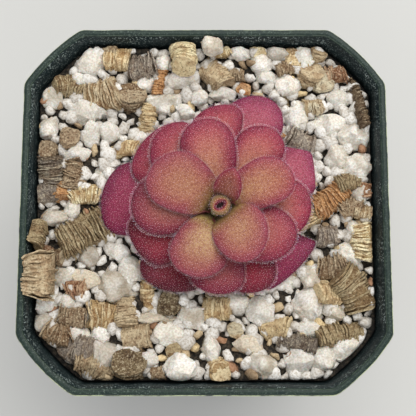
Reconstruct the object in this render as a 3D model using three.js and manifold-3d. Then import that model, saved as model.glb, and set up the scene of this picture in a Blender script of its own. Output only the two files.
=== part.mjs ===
// A butterwort (Pinguicula) growing in a square nursery pot. Millimetres, +Z up, -Y is the front.
// The origin is the middle of the pot's foot.
import * as THREE from "three";
import * as BufferGeometryUtils from "three/addons/utils/BufferGeometryUtils.js";
import Module from "manifold-3d";

const wasm = await Module();
wasm.setup();

// ---------------------------------------------------------------- driving dimensions
const CLEARANCE = 0.35; // between touching pieces

const RIM_WIDTH = 76; // a 3 inch pot, measured across its lip
const POT_HEIGHT = 70;
const CORNER_CUT = 11.8; // leg of the cut corner at the lip
const CORNER_BULGE = 0.9; // how far a cut corner curves outwards
const CORNER_STEPS = 4;
const FLOOR = 1.2;

// The wall, as [inset from the lip's outline, height], up the outside, over the lip, down the inside.
const FOOT_INSET = 8.4;
const WALL = 1.0;
const LIP_DEPTH = 1.6;
const STEP_HEIGHT = 58.4; // the pots nest down to this step
const STEP_RISE = 1.1;
const POT_OUTSIDE = [
  [FOOT_INSET + 0.7, 0],
  [FOOT_INSET, 0.8],
  [2.6, STEP_HEIGHT],
  [1.4, STEP_HEIGHT + 0.8],
  [1.0, POT_HEIGHT - LIP_DEPTH],
  [0.0, POT_HEIGHT - 1.4],
  [0.0, POT_HEIGHT - 0.4],
  [0.4, POT_HEIGHT],
  [1.1, POT_HEIGHT],
  [1.5, POT_HEIGHT - 0.3],
];
const POT_INSIDE = [
  [2.0, POT_HEIGHT - LIP_DEPTH],
  [2.4, STEP_HEIGHT + STEP_RISE],
  [2.6 + WALL, STEP_HEIGHT],
  [FOOT_INSET + WALL, FLOOR + 0.7],
  [FOOT_INSET + WALL + 0.7, FLOOR],
];
const RIDGE_WIDTH = 9; // two hollow ridges cross the floor, so that water drains under the pot
const RIDGE_LENGTH = 50;
const RIDGE_RISE = 2;
const DRAIN_RADIUS = 3;
const DRAIN_REACH = 17; // centre of the pot to an outer drain hole

const BED_FOOT = FLOOR + RIDGE_RISE + CLEARANCE;
const BED_HEIGHT = 61.8; // the level that the grains are sunk in, in the middle of the pot
const BED_SLOPE = 0.02; // the bed is lower at the front
const BED_DISH = 3; // how much higher it lies at the walls than round the plant
const BED_DISH_POWER = 3;
const BED_MIDDLE_SHARE = 0.62; // where the bed's top turns from its dish to the flat middle
const BED_INSET = 2.8; // from the lip's outline to the edge that grains are dropped in
const GRAIN_FILL_RADII = [2.8, 2.3, 1.9];
const GRAIN_FILL_TRIES = 500;
const GRAIN_SPREAD = 0.12; // of a filled grain's radius
const GRAIN_LONG = 2.2; // its two plan widths, over its radius
const GRAIN_WIDE = 1.8;
const LUMP_SHARE = 0.72; // of the filled grains
const GRAIN_PACKING = 0.86; // least distance between two filled grains, over the sum of their radii
const GRAIN_FLATNESS = 0.85; // a grain's height over its plan width
const GRAIN_STAND = 2.2; // how far a grain stands out of the bed
const GRAIN_STAND_GAIN = 0.25; // and how much more for each millimetre of its radius
const GRAIN_STAND_MOST = 1.5; // never more than this many radii
const GRAIN_TILT = 24; // degrees
const GRAIN_TURN = 14; // degrees that a listed grain may stray from its row
const HEAP_LEAN = 20; // degrees that a heaped grain leans outwards over the lip
const HEAP_ROOM = 5; // above the lip
const ROUNDED_GRAIN = 2; // lumps above this radius are rounder than a block
const ROUND_BODY_RADIUS = 1.05; // of a grain before it is scaled to its own half widths
const BLOCK_BODY_SIDE = 1.7;
const ROUND_JITTER = 0.22;
const BLOCK_JITTER = 0.16;
const JITTER_MIDDLE = 0.7;
const ROOF_SPOKES = 8; // points round a grain where the leaves above it are felt
const SHELTER_GAP = 0.65; // from a grain's top to the leaf that spreads over it
const BARE_RADIUS = 12; // no grain is needed where the leaves hide the bed from every side

const ROSETTE = { x: 3.1, y: -0.3, z: 64.8 }; // z is the level of the lowest leaves' feet
const LEAF_GAP = 0.5; // crown to a leaf's foot
const LEAF_EDGE = 0.6;
const LEAF_SWELL = 0.12; // extra thickness along the middle of a blade
const LEAF_CAMBER = 0.6; // how far a margin lies below the middle of its blade
const LEAF_FOOT_SHARE = 0.2; // width of a leaf's foot over its blade's
const LEAF_BASE_POWER = 0.6;
const LEAF_TIP_POWER = 0.48; // of a round tip; less is blunt and more is pointed
const LEAF_ARCH = 2.3; // steepness at the foot of a leaf, over its mean slope
const OLDEST_LIFT = 0; // rise from foot to tip, oldest leaf
const INNER_LIFT = 4; // and innermost full leaf
const YOUNG_LIFT = 6;
const ALONG_STEPS = 8;
const ACROSS_STEPS = 6;

const CROWN_TOP = 7.4; // above the rosette's level
const CROWN_TOP_RADIUS = 1.25;
const CROWN_FLARE = 0.36; // gain in radius for each millimetre down
const CROWN_COLLAR = 0.5; // height of its plain edge under the rosette's level
const CROWN_SIDES = 14;
const STEM_RADIUS = 2.2;
const STEM_TOP = -2.4; // heights from the rosette's level
const STEM_TAPER = -4;
const STEM_FOOT = -6.5;
const STEM_FOOT_RADIUS = 1.3;
const ROOT_COUNT = 4;
const ROOT_LENGTH = 8;
const ROOT_RADIUS = 0.9;
const ROOT_START = -4.2;
const ROOT_SPLAY = 0.16; // radians
const ROOT_TURN = 0.4;
const ROOT_HOLE_RADIUS = 3.4;
const ROOT_HOLE_DEPTH = 13;
const BUD_SIDES = 12;
const BUD_PROFILE = [
  // [radius, height] of the rolled leaf, a ring round a dark pocket
  [0, 0],
  [0.8, 0],
  [1.2, 0.4],
  [1.8, 1.0],
  [2.05, 1.5],
  [1.7, 1.9],
  [0.9, 1.7],
  [0, 1.3],
];

const COLOURS = {
  pot: 0x1f3a2c,
  mix: 0xd8cfbd,
  crown: 0x8a9a52,
  bud: 0xb08a62,
  young: 0x9c5257,
  inner: 0xb5786a,
  middle: 0xa34a5c,
  outer: 0x99405a,
  oldest: 0x8a3a64,
};

// Every leaf, youngest first. azimuth: degrees from +X towards the back. reach: the tip's distance from
// the rosette's axis. shoulder: where along it the blade is widest. sway: sideways drift of the tip.
// level: height of the leaf's foot above the lowest leaves'.
const LEAVES = [
  { name: "young", azimuth: 65, reach: 7.4, width: 5.6, shoulder: 0.3, sway: 0.3, level: 7.4 },
  { name: "inner_1", azimuth: 310, reach: 12.6, width: 11.3, shoulder: 0.4, sway: -1.2, level: 7.0 },
  { name: "inner_2", azimuth: 147, reach: 15.7, width: 12.3, shoulder: 0.6, sway: 1.1, level: 6.1 },
  { name: "inner_3", azimuth: 31, reach: 16.0, width: 10.0, shoulder: 0.65, sway: -1.2, level: 5.6 },
  { name: "inner_4", azimuth: 247, reach: 15.3, width: 11.6, shoulder: 0.6, sway: -0.8, level: 5.2 },
  { name: "middle_1", azimuth: 101, reach: 18.4, width: 11.3, shoulder: 0.65, sway: 0.1, level: 4.8 },
  { name: "middle_2", azimuth: 327, reach: 16.7, width: 12.2, shoulder: 0.5, sway: 1.3, level: 3.8 },
  { name: "middle_3", azimuth: 179, reach: 18.0, width: 11.9, shoulder: 0.65, sway: -0.3, level: 4.1 },
  { name: "middle_4", azimuth: 58, reach: 19.7, width: 10.2, shoulder: 0.7, sway: -0.8, level: 3.6 },
  { name: "middle_5", azimuth: 265, reach: 17.5, width: 11.6, shoulder: 0.7, sway: 0.9, level: 2.7 },
  { name: "middle_6", azimuth: 125, reach: 20.6, width: 13.2, shoulder: 0.6, sway: -0.2, level: 3.1 },
  { name: "outer_1", azimuth: 1, reach: 18.9, width: 12.1, shoulder: 0.65, sway: 0.4, level: 2.4 },
  { name: "outer_2", azimuth: 210, reach: 19.1, width: 11.5, shoulder: 0.8, sway: -2.5, level: 1.7 },
  { name: "outer_3", azimuth: 98, reach: 22.1, width: 11.1, shoulder: 0.8, sway: -3.2, level: 2.0 },
  { name: "outer_4", azimuth: 290, reach: 18.7, width: 12.4, shoulder: 0.55, sway: 2.2, level: 1.8 },
  { name: "outer_5", azimuth: 135, reach: 21.9, width: 15.8, shoulder: 0.75, sway: -0.5, level: 0.9 },
  { name: "oldest_1", azimuth: 25, reach: 22.8, width: 12.6, shoulder: 0.65, sway: 1.4, level: 1.1 },
  { name: "oldest_2", azimuth: 239, reach: 20.5, width: 14.3, shoulder: 0.6, sway: -4.0, level: 0.8 },
  { name: "oldest_3", azimuth: 74, reach: 26.6, width: 14.1, shoulder: 0.65, sway: -2.5, level: 0 },
  { name: "oldest_4", azimuth: 315, reach: 20.1, width: 14.4, shoulder: 0.9, sway: 3.2, level: 0 },
  { name: "oldest_5", azimuth: 170, reach: 25.2, width: 15.9, shoulder: 0.75, sway: 1.0, level: 0 },
];
// The leaves round the bud have broad feet that close the rosette's middle.
const BROAD_FEET = { young: 0.6, inner_1: 0.5, inner_2: 0.36, inner_3: 0.38, inner_4: 0.45 };
const ODD_TIPS = { young: 0.75, oldest_1: 0.3 };

// The grains that show, as [kind, x, y, long, wide, turn in degrees, heap]. A lump is perlite, and a
// flake is a stack of vermiculite leaves. A few are heaped higher than their neighbours, at the lip.
const CHUNKS = [
  // back left
  ["flake", -31.5, 28.5, 6, 4.5, 12],
  ["lump", -26, 33.5, 7, 5.5, 0],
  ["flake", -19, 33, 5, 4.5, 0],
  ["flake", -21, 35, 3.5, 2.5, 0],
  ["flake", -22, 25, 7, 6.5, 0],
  ["flake", -16, 24.5, 5, 5, 0],
  ["flake", -12.5, 20, 5.5, 3, 90],
  ["flake", -13, 31, 5, 4.5, 0],
  ["flake", -9.5, 28.5, 6, 2, 90],
  ["lump", -8.5, 23.5, 8, 5.5, 0],
  ["flake", -4.5, 32.5, 5.5, 4.5, 90, 3],
  ["lump", -4.5, 28.5, 7, 3.5, 0],
  ["lump", -26, 21.5, 8.5, 5, 0],
  ["lump", -34, 18, 4.5, 4.5, 0],
  ["flake", -34.5, 13.5, 3.5, 3.5, 0],
  ["flake", -29, 15.5, 3.5, 3.5, 0],
  ["lump", -20.5, 17, 5, 5, 0],
  ["lump", -24.5, 16.5, 5.5, 3.5, 90],
  ["lump", -27.5, 12, 5.5, 3.5, 0],
  // left
  ["flake", -34, 8.5, 6.5, 5, 90],
  ["flake", -34, 3.5, 4, 3.5, 0],
  ["flake", -30.5, 4.5, 4, 3.5, 90],
  ["flake", -28, 7.5, 5, 4, 90],
  ["flake", -26, 3.5, 5.5, 3.5, 0],
  ["lump", -22, 8.5, 8.5, 6.5, 65],
  ["flake", -16.5, 13.5, 5.5, 3, 0],
  ["flake", -26, -5, 9.5, 7, 28],
  ["flake", -35, -5.5, 4.5, 4, 90, 2.5],
  ["lump", -32, -1.5, 6, 3.5, 0],
  ["flake", -34, -14, 7.5, 6, 90, 4.5],
  ["flake", -31, -10, 3.5, 3, 0],
  ["flake", -34, -8.5, 3, 2, 0],
  ["lump", -24.5, -9.5, 5.5, 4, 90],
  ["lump", -15.5, -12.5, 5.5, 5.5, 0],
  ["lump", -19, -16, 8, 7, 0],
  ["lump", -30, -14, 4, 4, 0],
  ["lump", -25, -14.5, 6, 3.5, 0],
  ["flake", -27, -16.5, 4, 3.5, 0],
  // front left
  ["flake", -21, -22, 6, 5, 0],
  ["flake", -16.5, -21.5, 5.5, 4, 90],
  ["lump", -9.5, -22.5, 10, 2, 0],
  ["flake", -7.5, -19.5, 4, 4, 0],
  ["flake", -12, -17.5, 5, 2.5, 90],
  ["lump", -26.5, -26, 5.5, 4, 0],
  ["flake", -32, -27.5, 5.5, 4.5, 0],
  ["flake", -27, -30.5, 7, 5.5, 0],
  ["flake", -24.5, -34.5, 7.5, 4, 160],
  ["lump", -21, -30.5, 7, 6, 90],
  ["flake", -15.5, -32.5, 5.5, 5.5, 0],
  ["flake", -14, -26.5, 5, 4.5, 0],
  ["lump", -7, -26, 6, 5.5, 0],
  ["lump", -5, -34, 6.5, 6, 0, 1.5],
  ["flake", -9.5, -34, 3, 2.5, 0],
  ["flake", -6, -29.5, 3, 3, 0],
  ["lump", -16, -29.5, 4, 3, 0],
  ["lump", -33.5, -23.5, 3.5, 3.5, 0],
  ["flake", -27.5, -22.5, 5, 4, 0],
  // back
  ["lump", 1.5, 35, 5, 4.5, 0, 3],
  ["flake", 4, 35.5, 3, 2.5, 0],
  ["lump", 8, 35, 4.5, 3.5, 0],
  ["flake", 12, 35.5, 2.5, 2.5, 0],
  ["lump", 16, 34.5, 4.5, 3.5, 0],
  ["flake", 18.5, 34, 3, 2.5, 0],
  ["flake", 20, 32.5, 4, 2.5, 0],
  ["lump", 22, 34, 5.5, 4, 90],
  ["flake", 25, 34.5, 3, 3, 0],
  ["flake", 30.5, 31.5, 4, 3.5, 0],
  ["flake", 22.5, 29.5, 4.5, 4.5, 0],
  ["flake", 17.5, 31, 4, 2.5, 0],
  ["lump", 12, 32, 5, 4.5, 90],
  ["lump", 13, 29, 4, 3, 0],
  ["lump", 18, 27, 6, 5, 0],
  ["flake", 25.5, 28, 4, 4, 0],
  ["flake", 7, 29.5, 3, 2.5, 0],
  ["flake", 8.5, 26.5, 2.5, 2.5, 0],
  ["lump", 4, 25.5, 5.5, 3, 0],
  // back right
  ["flake", 17, 23.5, 4, 3, 90],
  ["lump", 20, 20.5, 6.5, 5, 90],
  ["flake", 23.5, 22.5, 4, 3, 0],
  ["lump", 27, 18.5, 6.5, 5.5, 0],
  ["flake", 34.5, 24, 10.5, 2, 90],
  ["lump", 32.5, 16, 7, 6.5, 0],
  ["lump", 33.5, 9.5, 6.5, 5.5, 0],
  ["lump", 28.5, 11, 6.5, 5, 90],
  // right
  ["flake", 26.5, 2, 7, 5, 25],
  ["flake", 35, 4, 3, 2.5, 90],
  ["lump", 33, 3.5, 5, 3.5, 90],
  ["flake", 34.5, -0.5, 3.5, 3, 0],
  ["flake", 31, 0.5, 4, 3.5, 0],
  ["flake", 34, -7, 7, 4, 90],
  ["lump", 30, -9.5, 5.5, 5, 0],
  ["flake", 26, -5.5, 4, 3.5, 0],
  ["lump", 31.5, -4, 4, 3, 90],
  ["flake", 27, -12, 5.5, 5, 0],
  // front right
  ["flake", 32.5, -17.5, 8.5, 6.5, 112],
  ["flake", 26, -17.5, 5, 4, 0],
  ["lump", 22, -20, 7, 7, 0],
  ["lump", 27.5, -21.5, 4, 3.5, 0],
  ["flake", 28, -26, 8.5, 3.5, 0],
  ["flake", 19.5, -28, 7.5, 3, 0],
  ["lump", 30, -30, 7, 5, 0],
  ["lump", 24.5, -31, 6, 5, 0],
  ["lump", 19.5, -31.5, 6, 5.5, 0],
  ["lump", 22, -25, 5, 3.5, 0],
  // front
  ["flake", 15, -24.5, 5, 3.5, 0],
  ["flake", 3, -20.5, 5, 4.5, 0],
  ["lump", 11.5, -21, 6, 6, 0],
  ["lump", 9, -28, 6, 4, 0],
  ["flake", 3, -33.5, 4, 4, 0],
  ["lump", 1.5, -29, 6, 3.5, 90],
  ["flake", 6.5, -25, 3, 3, 0],
];

// ---------------------------------------------------------------- helpers
function material(colour, roughness) {
  return new THREE.MeshStandardMaterial({ color: colour, roughness, metalness: 0 });
}

// Mulberry32: the same numbers on every run.
function seededRandom(seed) {
  let state = seed >>> 0;
  return () => {
    state = (state + 0x6d2b79f5) >>> 0;
    let mixed = Math.imul(state ^ (state >>> 15), state | 1);
    mixed ^= mixed + Math.imul(mixed ^ (mixed >>> 7), mixed | 61);
    return ((mixed ^ (mixed >>> 14)) >>> 0) / 4294967296;
  };
}

function indexedGeometry(points, triangles) {
  const positions = points.flatMap((p) => [p.x, p.y, p.z]);
  const geometry = new THREE.BufferGeometry();
  geometry.setAttribute("position", new THREE.Float32BufferAttribute(positions, 3));
  geometry.setIndex(triangles.flat());
  return geometry;
}

function toSolid(geometry) {
  const bare = geometry.clone();
  bare.deleteAttribute("normal");
  bare.deleteAttribute("uv");
  const merged = BufferGeometryUtils.mergeVertices(bare, 1e-4);
  return new wasm.Manifold(
    new wasm.Mesh({
      numProp: 3,
      vertProperties: new Float32Array(merged.attributes.position.array),
      triVerts: new Uint32Array(merged.index.array),
    }),
  );
}

function toGeometry(solid) {
  const mesh = solid.getMesh();
  const geometry = new THREE.BufferGeometry();
  geometry.setAttribute("position", new THREE.BufferAttribute(mesh.vertProperties, 3));
  geometry.setIndex(new THREE.BufferAttribute(mesh.triVerts, 1));
  return geometry;
}

function unionOf(solids) {
  return solids.reduce((sum, solid) => sum.add(solid));
}

// ---------------------------------------------------------------- the pot's outline
function cornerCut(inset) {
  return CORNER_CUT - (2 - Math.SQRT2) * inset;
}

// A square with cut, slightly curved corners, walked anticlockwise from the right-hand side.
function cutCornerRing(inset, height) {
  const half = RIM_WIDTH / 2 - inset;
  const cut = cornerCut(inset);
  const quarter = [];
  for (let step = 0; step <= CORNER_STEPS; step += 1) {
    const t = step / CORNER_STEPS;
    const bulge = (CORNER_BULGE * 4 * t * (1 - t)) / Math.SQRT2;
    quarter.push(new THREE.Vector2(half - cut * t + bulge, half - cut * (1 - t) + bulge));
  }
  const ring = [];
  for (let corner = 0; corner < 4; corner += 1) {
    for (const point of quarter) {
      const turned = point.clone().rotateAround(new THREE.Vector2(), (corner * Math.PI) / 2);
      const level = typeof height === "function" ? height(turned.x, turned.y) : height;
      ring.push(new THREE.Vector3(turned.x, turned.y, level));
    }
  }
  return ring;
}

// Joins rings of equal length into one closed body, capped at its first and last ring.
function loft(rings) {
  const size = rings[0].length;
  const points = rings.flat();
  const triangles = [];
  for (let row = 0; row + 1 < rings.length; row += 1) {
    for (let k = 0; k < size; k += 1) {
      const a = row * size + k;
      const b = row * size + ((k + 1) % size);
      triangles.push([a, b, b + size], [a, b + size, a + size]);
    }
  }
  const centreOf = (ring) => ring.reduce((sum, p) => sum.add(p), new THREE.Vector3()).divideScalar(size);
  points.push(centreOf(rings[0]), centreOf(rings[rings.length - 1]));
  const [first, last] = [points.length - 2, points.length - 1];
  const top = (rings.length - 1) * size;
  for (let k = 0; k < size; k += 1) {
    const next = (k + 1) % size;
    triangles.push([first, next, k], [last, top + k, top + next]);
  }
  return indexedGeometry(points, triangles);
}

function boxSolid(width, depth, low, high) {
  return toSolid(new THREE.BoxGeometry(width, depth, high - low).translate(0, 0, (low + high) / 2));
}

function postSolid(radius, low, high, x = 0, y = 0, sides = 14) {
  const post = new THREE.CylinderGeometry(radius, radius, high - low, sides).rotateX(Math.PI / 2);
  return toSolid(post.translate(x, y, (low + high) / 2));
}

// ---------------------------------------------------------------- pot
function makePot() {
  const rings = [...POT_OUTSIDE, ...POT_INSIDE].map(([inset, height]) => cutCornerRing(inset, height));
  const shell = toSolid(loft(rings));
  const ridgeTop = FLOOR + RIDGE_RISE;
  const ridges = unionOf([
    boxSolid(RIDGE_LENGTH, RIDGE_WIDTH, FLOOR / 2, ridgeTop),
    boxSolid(RIDGE_WIDTH, RIDGE_LENGTH, FLOOR / 2, ridgeTop),
  ]);
  const hollows = unionOf([
    boxSolid(RIDGE_LENGTH - 2 * WALL, RIDGE_WIDTH - 2 * WALL, -1, RIDGE_RISE),
    boxSolid(RIDGE_WIDTH - 2 * WALL, RIDGE_LENGTH - 2 * WALL, -1, RIDGE_RISE),
  ]);
  const drains = unionOf(
    [[0, 0], [1, 0], [0, 1], [-1, 0], [0, -1]].map(([x, y]) =>
      postSolid(DRAIN_RADIUS, -1, ridgeTop + 1, x * DRAIN_REACH, y * DRAIN_REACH),
    ),
  );
  return toGeometry(shell.add(ridges).subtract(hollows).subtract(drains));
}

// ---------------------------------------------------------------- growing mix
// The bed is level round the plant, and rises towards the walls.
function bedHeight(x, y) {
  const out = Math.max(Math.abs(x), Math.abs(y)) / (RIM_WIDTH / 2);
  return BED_HEIGHT + BED_SLOPE * y + BED_DISH * out ** BED_DISH_POWER;
}

function insideBed(x, y, margin) {
  const inset = BED_INSET + margin;
  const half = RIM_WIDTH / 2 - inset;
  const [across, deep] = [Math.abs(x), Math.abs(y)];
  return across < half && deep < half && across + deep < 2 * half - cornerCut(inset);
}

function fromRosette(grain) {
  return Math.hypot(grain.x - ROSETTE.x, grain.y - ROSETTE.y);
}

// The listed chunks, then ever smaller grains dropped wherever one still fits.
function placeGrains() {
  const random = seededRandom(7);
  const stray = (most) => most * (2 * random() - 1);
  const grains = CHUNKS.map(([kind, x, y, long, wide, turn, heap = 0]) => ({
    kind, x, y, long, wide, heap,
    turn: turn + stray(GRAIN_TURN),
    tilt: [stray(GRAIN_TILT), stray(GRAIN_TILT)],
    radius: (long + wide) / 4,
  }));
  for (const size of GRAIN_FILL_RADII) {
    for (let tried = 0; tried < GRAIN_FILL_TRIES; tried += 1) {
      const x = (random() - 0.5) * RIM_WIDTH;
      const y = (random() - 0.5) * RIM_WIDTH;
      const radius = size * (1 + GRAIN_SPREAD * (2 * random() - 1));
      const kind = random() < LUMP_SHARE ? "lump" : "flake";
      const turn = random() * 180;
      const tilt = [stray(GRAIN_TILT), stray(GRAIN_TILT)];
      const fits = grains.every((g) => Math.hypot(g.x - x, g.y - y) > GRAIN_PACKING * (g.radius + radius));
      if (fits && insideBed(x, y, radius * 0.7)) {
        const [long, wide] = [GRAIN_LONG * radius, GRAIN_WIDE * radius];
        grains.push({ kind, x, y, long, wide, heap: 0, turn, tilt, radius });
      }
    }
  }
  return grains.filter((grain) => fromRosette(grain) > BARE_RADIUS);
}

// The height of a leaf's underside over a point, measured from the rosette's axis, or none where the
// leaf doesn't reach.
function undersideAt(leaf, point) {
  const place = point.clone().rotateAround(new THREE.Vector2(), -THREE.MathUtils.degToRad(leaf.azimuth));
  const foot = attachRadius(leaf);
  const along = (place.x - foot) / (leaf.reach - foot);
  if (along < 0 || along > 1) return Infinity;
  const across = (place.y - leaf.sway * along * along) / halfWidth(leaf, along);
  if (Math.abs(across) > 1) return Infinity;
  return ROSETTE.z + leaf.level + bladePoint(leaf, along, across).z - bladeThickness(leaf, along, across);
}

// The underside of the lowest leaf that spreads over a grain, felt at points round the grain.
function leafRoof(grain) {
  const reach = GRAIN_FLATNESS * grain.radius;
  let roof = Infinity;
  for (let spoke = 0; spoke < ROOF_SPOKES; spoke += 1) {
    const angle = (spoke * 2 * Math.PI) / ROOF_SPOKES;
    const point = new THREE.Vector2(
      grain.x + reach * Math.cos(angle) - ROSETTE.x,
      grain.y + reach * Math.sin(angle) - ROSETTE.y,
    );
    for (const leaf of LEAVES) roof = Math.min(roof, undersideAt(leaf, point));
  }
  return roof;
}

function grainSolid(grain, random) {
  const half = (GRAIN_FLATNESS * (grain.long + grain.wide)) / 4 + grain.heap / 2;
  const stand = Math.min(GRAIN_STAND + GRAIN_STAND_GAIN * grain.radius, GRAIN_STAND_MOST * grain.radius);
  const open = bedHeight(grain.x, grain.y) + stand + grain.heap;
  const top = Math.min(open, leafRoof(grain) - SHELTER_GAP);
  const rounded = grain.kind === "lump" && grain.radius > ROUNDED_GRAIN;
  const body = rounded
    ? new THREE.IcosahedronGeometry(ROUND_BODY_RADIUS, 0)
    : new THREE.BoxGeometry(BLOCK_BODY_SIDE, BLOCK_BODY_SIDE, BLOCK_BODY_SIDE);
  const jitter = rounded ? ROUND_JITTER : BLOCK_JITTER;
  const lean = grain.heap > 0 ? HEAP_LEAN : 0;
  const overX = Math.abs(grain.x) > Math.abs(grain.y);
  const shape = toSolid(body).warp((p) => {
    for (let k = 0; k < 3; k += 1) p[k] *= 1 + (random() - JITTER_MIDDLE) * jitter;
  });
  return shape
    .scale([grain.long / 2, grain.wide / 2, half])
    .rotate([...grain.tilt, grain.turn])
    .rotate(overX ? [0, lean * Math.sign(grain.x), 0] : [-lean * Math.sign(grain.y), 0, 0])
    .translate([grain.x, grain.y, top - half]);
}

// The crown's outline from foot to top, grown outwards for the hole that it stands in.
function crownProfile(grow) {
  const flareAt = (level) => CROWN_TOP_RADIUS + CROWN_FLARE * (CROWN_TOP - level) + grow;
  return [
    [0, STEM_FOOT - grow],
    [STEM_FOOT_RADIUS + grow, STEM_FOOT - grow],
    [STEM_RADIUS + grow, STEM_TAPER],
    [STEM_RADIUS + grow, STEM_TOP],
    [flareAt(0), -CROWN_COLLAR],
    [flareAt(0), 0],
    [flareAt(CROWN_TOP), CROWN_TOP],
    [0, CROWN_TOP + grow],
  ];
}

// LatheGeometry turns about Y: this stands it up along Z.
function upright(profile, sides) {
  const points = profile.map(([radius, height]) => new THREE.Vector2(radius, height));
  return new THREE.LatheGeometry(points, sides).rotateX(Math.PI / 2);
}

// How far the bed stays inside the lip's outline at a height, above or below the nesting step.
function bedInset(height) {
  const [high, low] = height > STEP_HEIGHT ? POT_INSIDE.slice(0, 2) : POT_INSIDE.slice(2, 4);
  return THREE.MathUtils.mapLinear(height, low[1], high[1], low[0], high[0]) + CLEARANCE;
}

function makeMix() {
  const random = seededRandom(11);
  const ringAt = (level, height = level) => cutCornerRing(bedInset(level), height);
  const trunk = [BED_FOOT, STEP_HEIGHT, STEP_HEIGHT + STEP_RISE + CLEARANCE].map((level) => ringAt(level));
  const edge = ringAt(BED_HEIGHT, bedHeight);
  const middle = edge.map(({ x, y }) => {
    const [inX, inY] = [x * BED_MIDDLE_SHARE, y * BED_MIDDLE_SHARE];
    return new THREE.Vector3(inX, inY, bedHeight(inX, inY));
  });
  const bed = toSolid(loft([...trunk, edge, middle]));
  const [lipInset, lipFoot] = POT_INSIDE[0];
  const overLip = [
    cutCornerRing(lipInset + CLEARANCE, lipFoot),
    cutCornerRing(lipInset + CLEARANCE, POT_HEIGHT + CLEARANCE / 2),
    cutCornerRing(CLEARANCE, POT_HEIGHT + 2 * CLEARANCE),
    cutCornerRing(CLEARANCE, POT_HEIGHT + HEAP_ROOM),
  ];
  const room = toSolid(loft([...trunk, ...overLip]));
  const grains = wasm.Manifold.union(placeGrains().map((grain) => grainSolid(grain, random)));
  const hole = postSolid(ROOT_HOLE_RADIUS, -ROOT_HOLE_DEPTH, STEM_TOP - CLEARANCE)
    .add(toSolid(upright(crownProfile(CLEARANCE), CROWN_SIDES)))
    .translate([ROSETTE.x, ROSETTE.y, ROSETTE.z]);
  const parts = bed.add(grains).intersect(room).subtract(hole).decompose();
  return toGeometry(parts.reduce((largest, part) => (part.volume() > largest.volume() ? part : largest)));
}

// ---------------------------------------------------------------- plant
function makeCrown() {
  const stem = toSolid(upright(crownProfile(0), CROWN_SIDES));
  const roots = [];
  for (let k = 0; k < ROOT_COUNT; k += 1) {
    const turn = (k * 2 * Math.PI) / ROOT_COUNT + ROOT_TURN;
    const root = new THREE.ConeGeometry(ROOT_RADIUS, ROOT_LENGTH, 6).rotateX(-Math.PI / 2);
    root.translate(0, 0, -ROOT_LENGTH / 2).rotateY(-ROOT_SPLAY).rotateZ(turn);
    roots.push(toSolid(root).translate([0, 0, ROOT_START]));
  }
  return toGeometry(unionOf([stem, ...roots]));
}

function halfWidth(leaf, along) {
  const { name, width, shoulder } = leaf;
  if (along < shoulder) {
    const t = (shoulder - along) / shoulder;
    const foot = BROAD_FEET[name] ?? LEAF_FOOT_SHARE;
    return (width / 2) * (foot + (1 - foot) * (1 - t * t) ** LEAF_BASE_POWER);
  }
  const t = (along - shoulder) / (1 - shoulder);
  return (width / 2) * Math.max(0, 1 - t * t) ** (ODD_TIPS[name] ?? LEAF_TIP_POWER);
}

function liftOf(leaf) {
  const age = LEAVES.indexOf(leaf);
  if (age === 0) return YOUNG_LIFT;
  return THREE.MathUtils.mapLinear(age, 1, LEAVES.length - 1, INNER_LIFT, OLDEST_LIFT);
}

function attachRadius(leaf) {
  return CROWN_TOP_RADIUS + CROWN_FLARE * (CROWN_TOP - leaf.level) + LEAF_GAP;
}

// A point of the blade's middle surface. along: 0 at the foot to 1 at the tip. across: -1 to 1.
function bladePoint(leaf, along, across) {
  const foot = attachRadius(leaf);
  const half = halfWidth(leaf, along);
  const full = half / (leaf.width / 2);
  const arch = LEAF_ARCH * along - (LEAF_ARCH - 1) * along * along;
  return new THREE.Vector3(
    foot + (leaf.reach - foot) * along,
    across * half + leaf.sway * along * along,
    liftOf(leaf) * arch - LEAF_CAMBER * (across * full) ** 2,
  );
}

function bladeNormal(leaf, along, across) {
  const delta = 0.01;
  const a = THREE.MathUtils.clamp(along, delta, 1 - 4 * delta);
  const forward = bladePoint(leaf, a + delta, across).sub(bladePoint(leaf, a - delta, across));
  const sideways = bladePoint(leaf, a, across + delta).sub(bladePoint(leaf, a, across - delta));
  return forward.cross(sideways).normalize();
}

function bladeThickness(leaf, along, across) {
  const full = halfWidth(leaf, along) / (leaf.width / 2);
  return LEAF_EDGE + LEAF_SWELL * (1 - across * across) * full;
}

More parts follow.
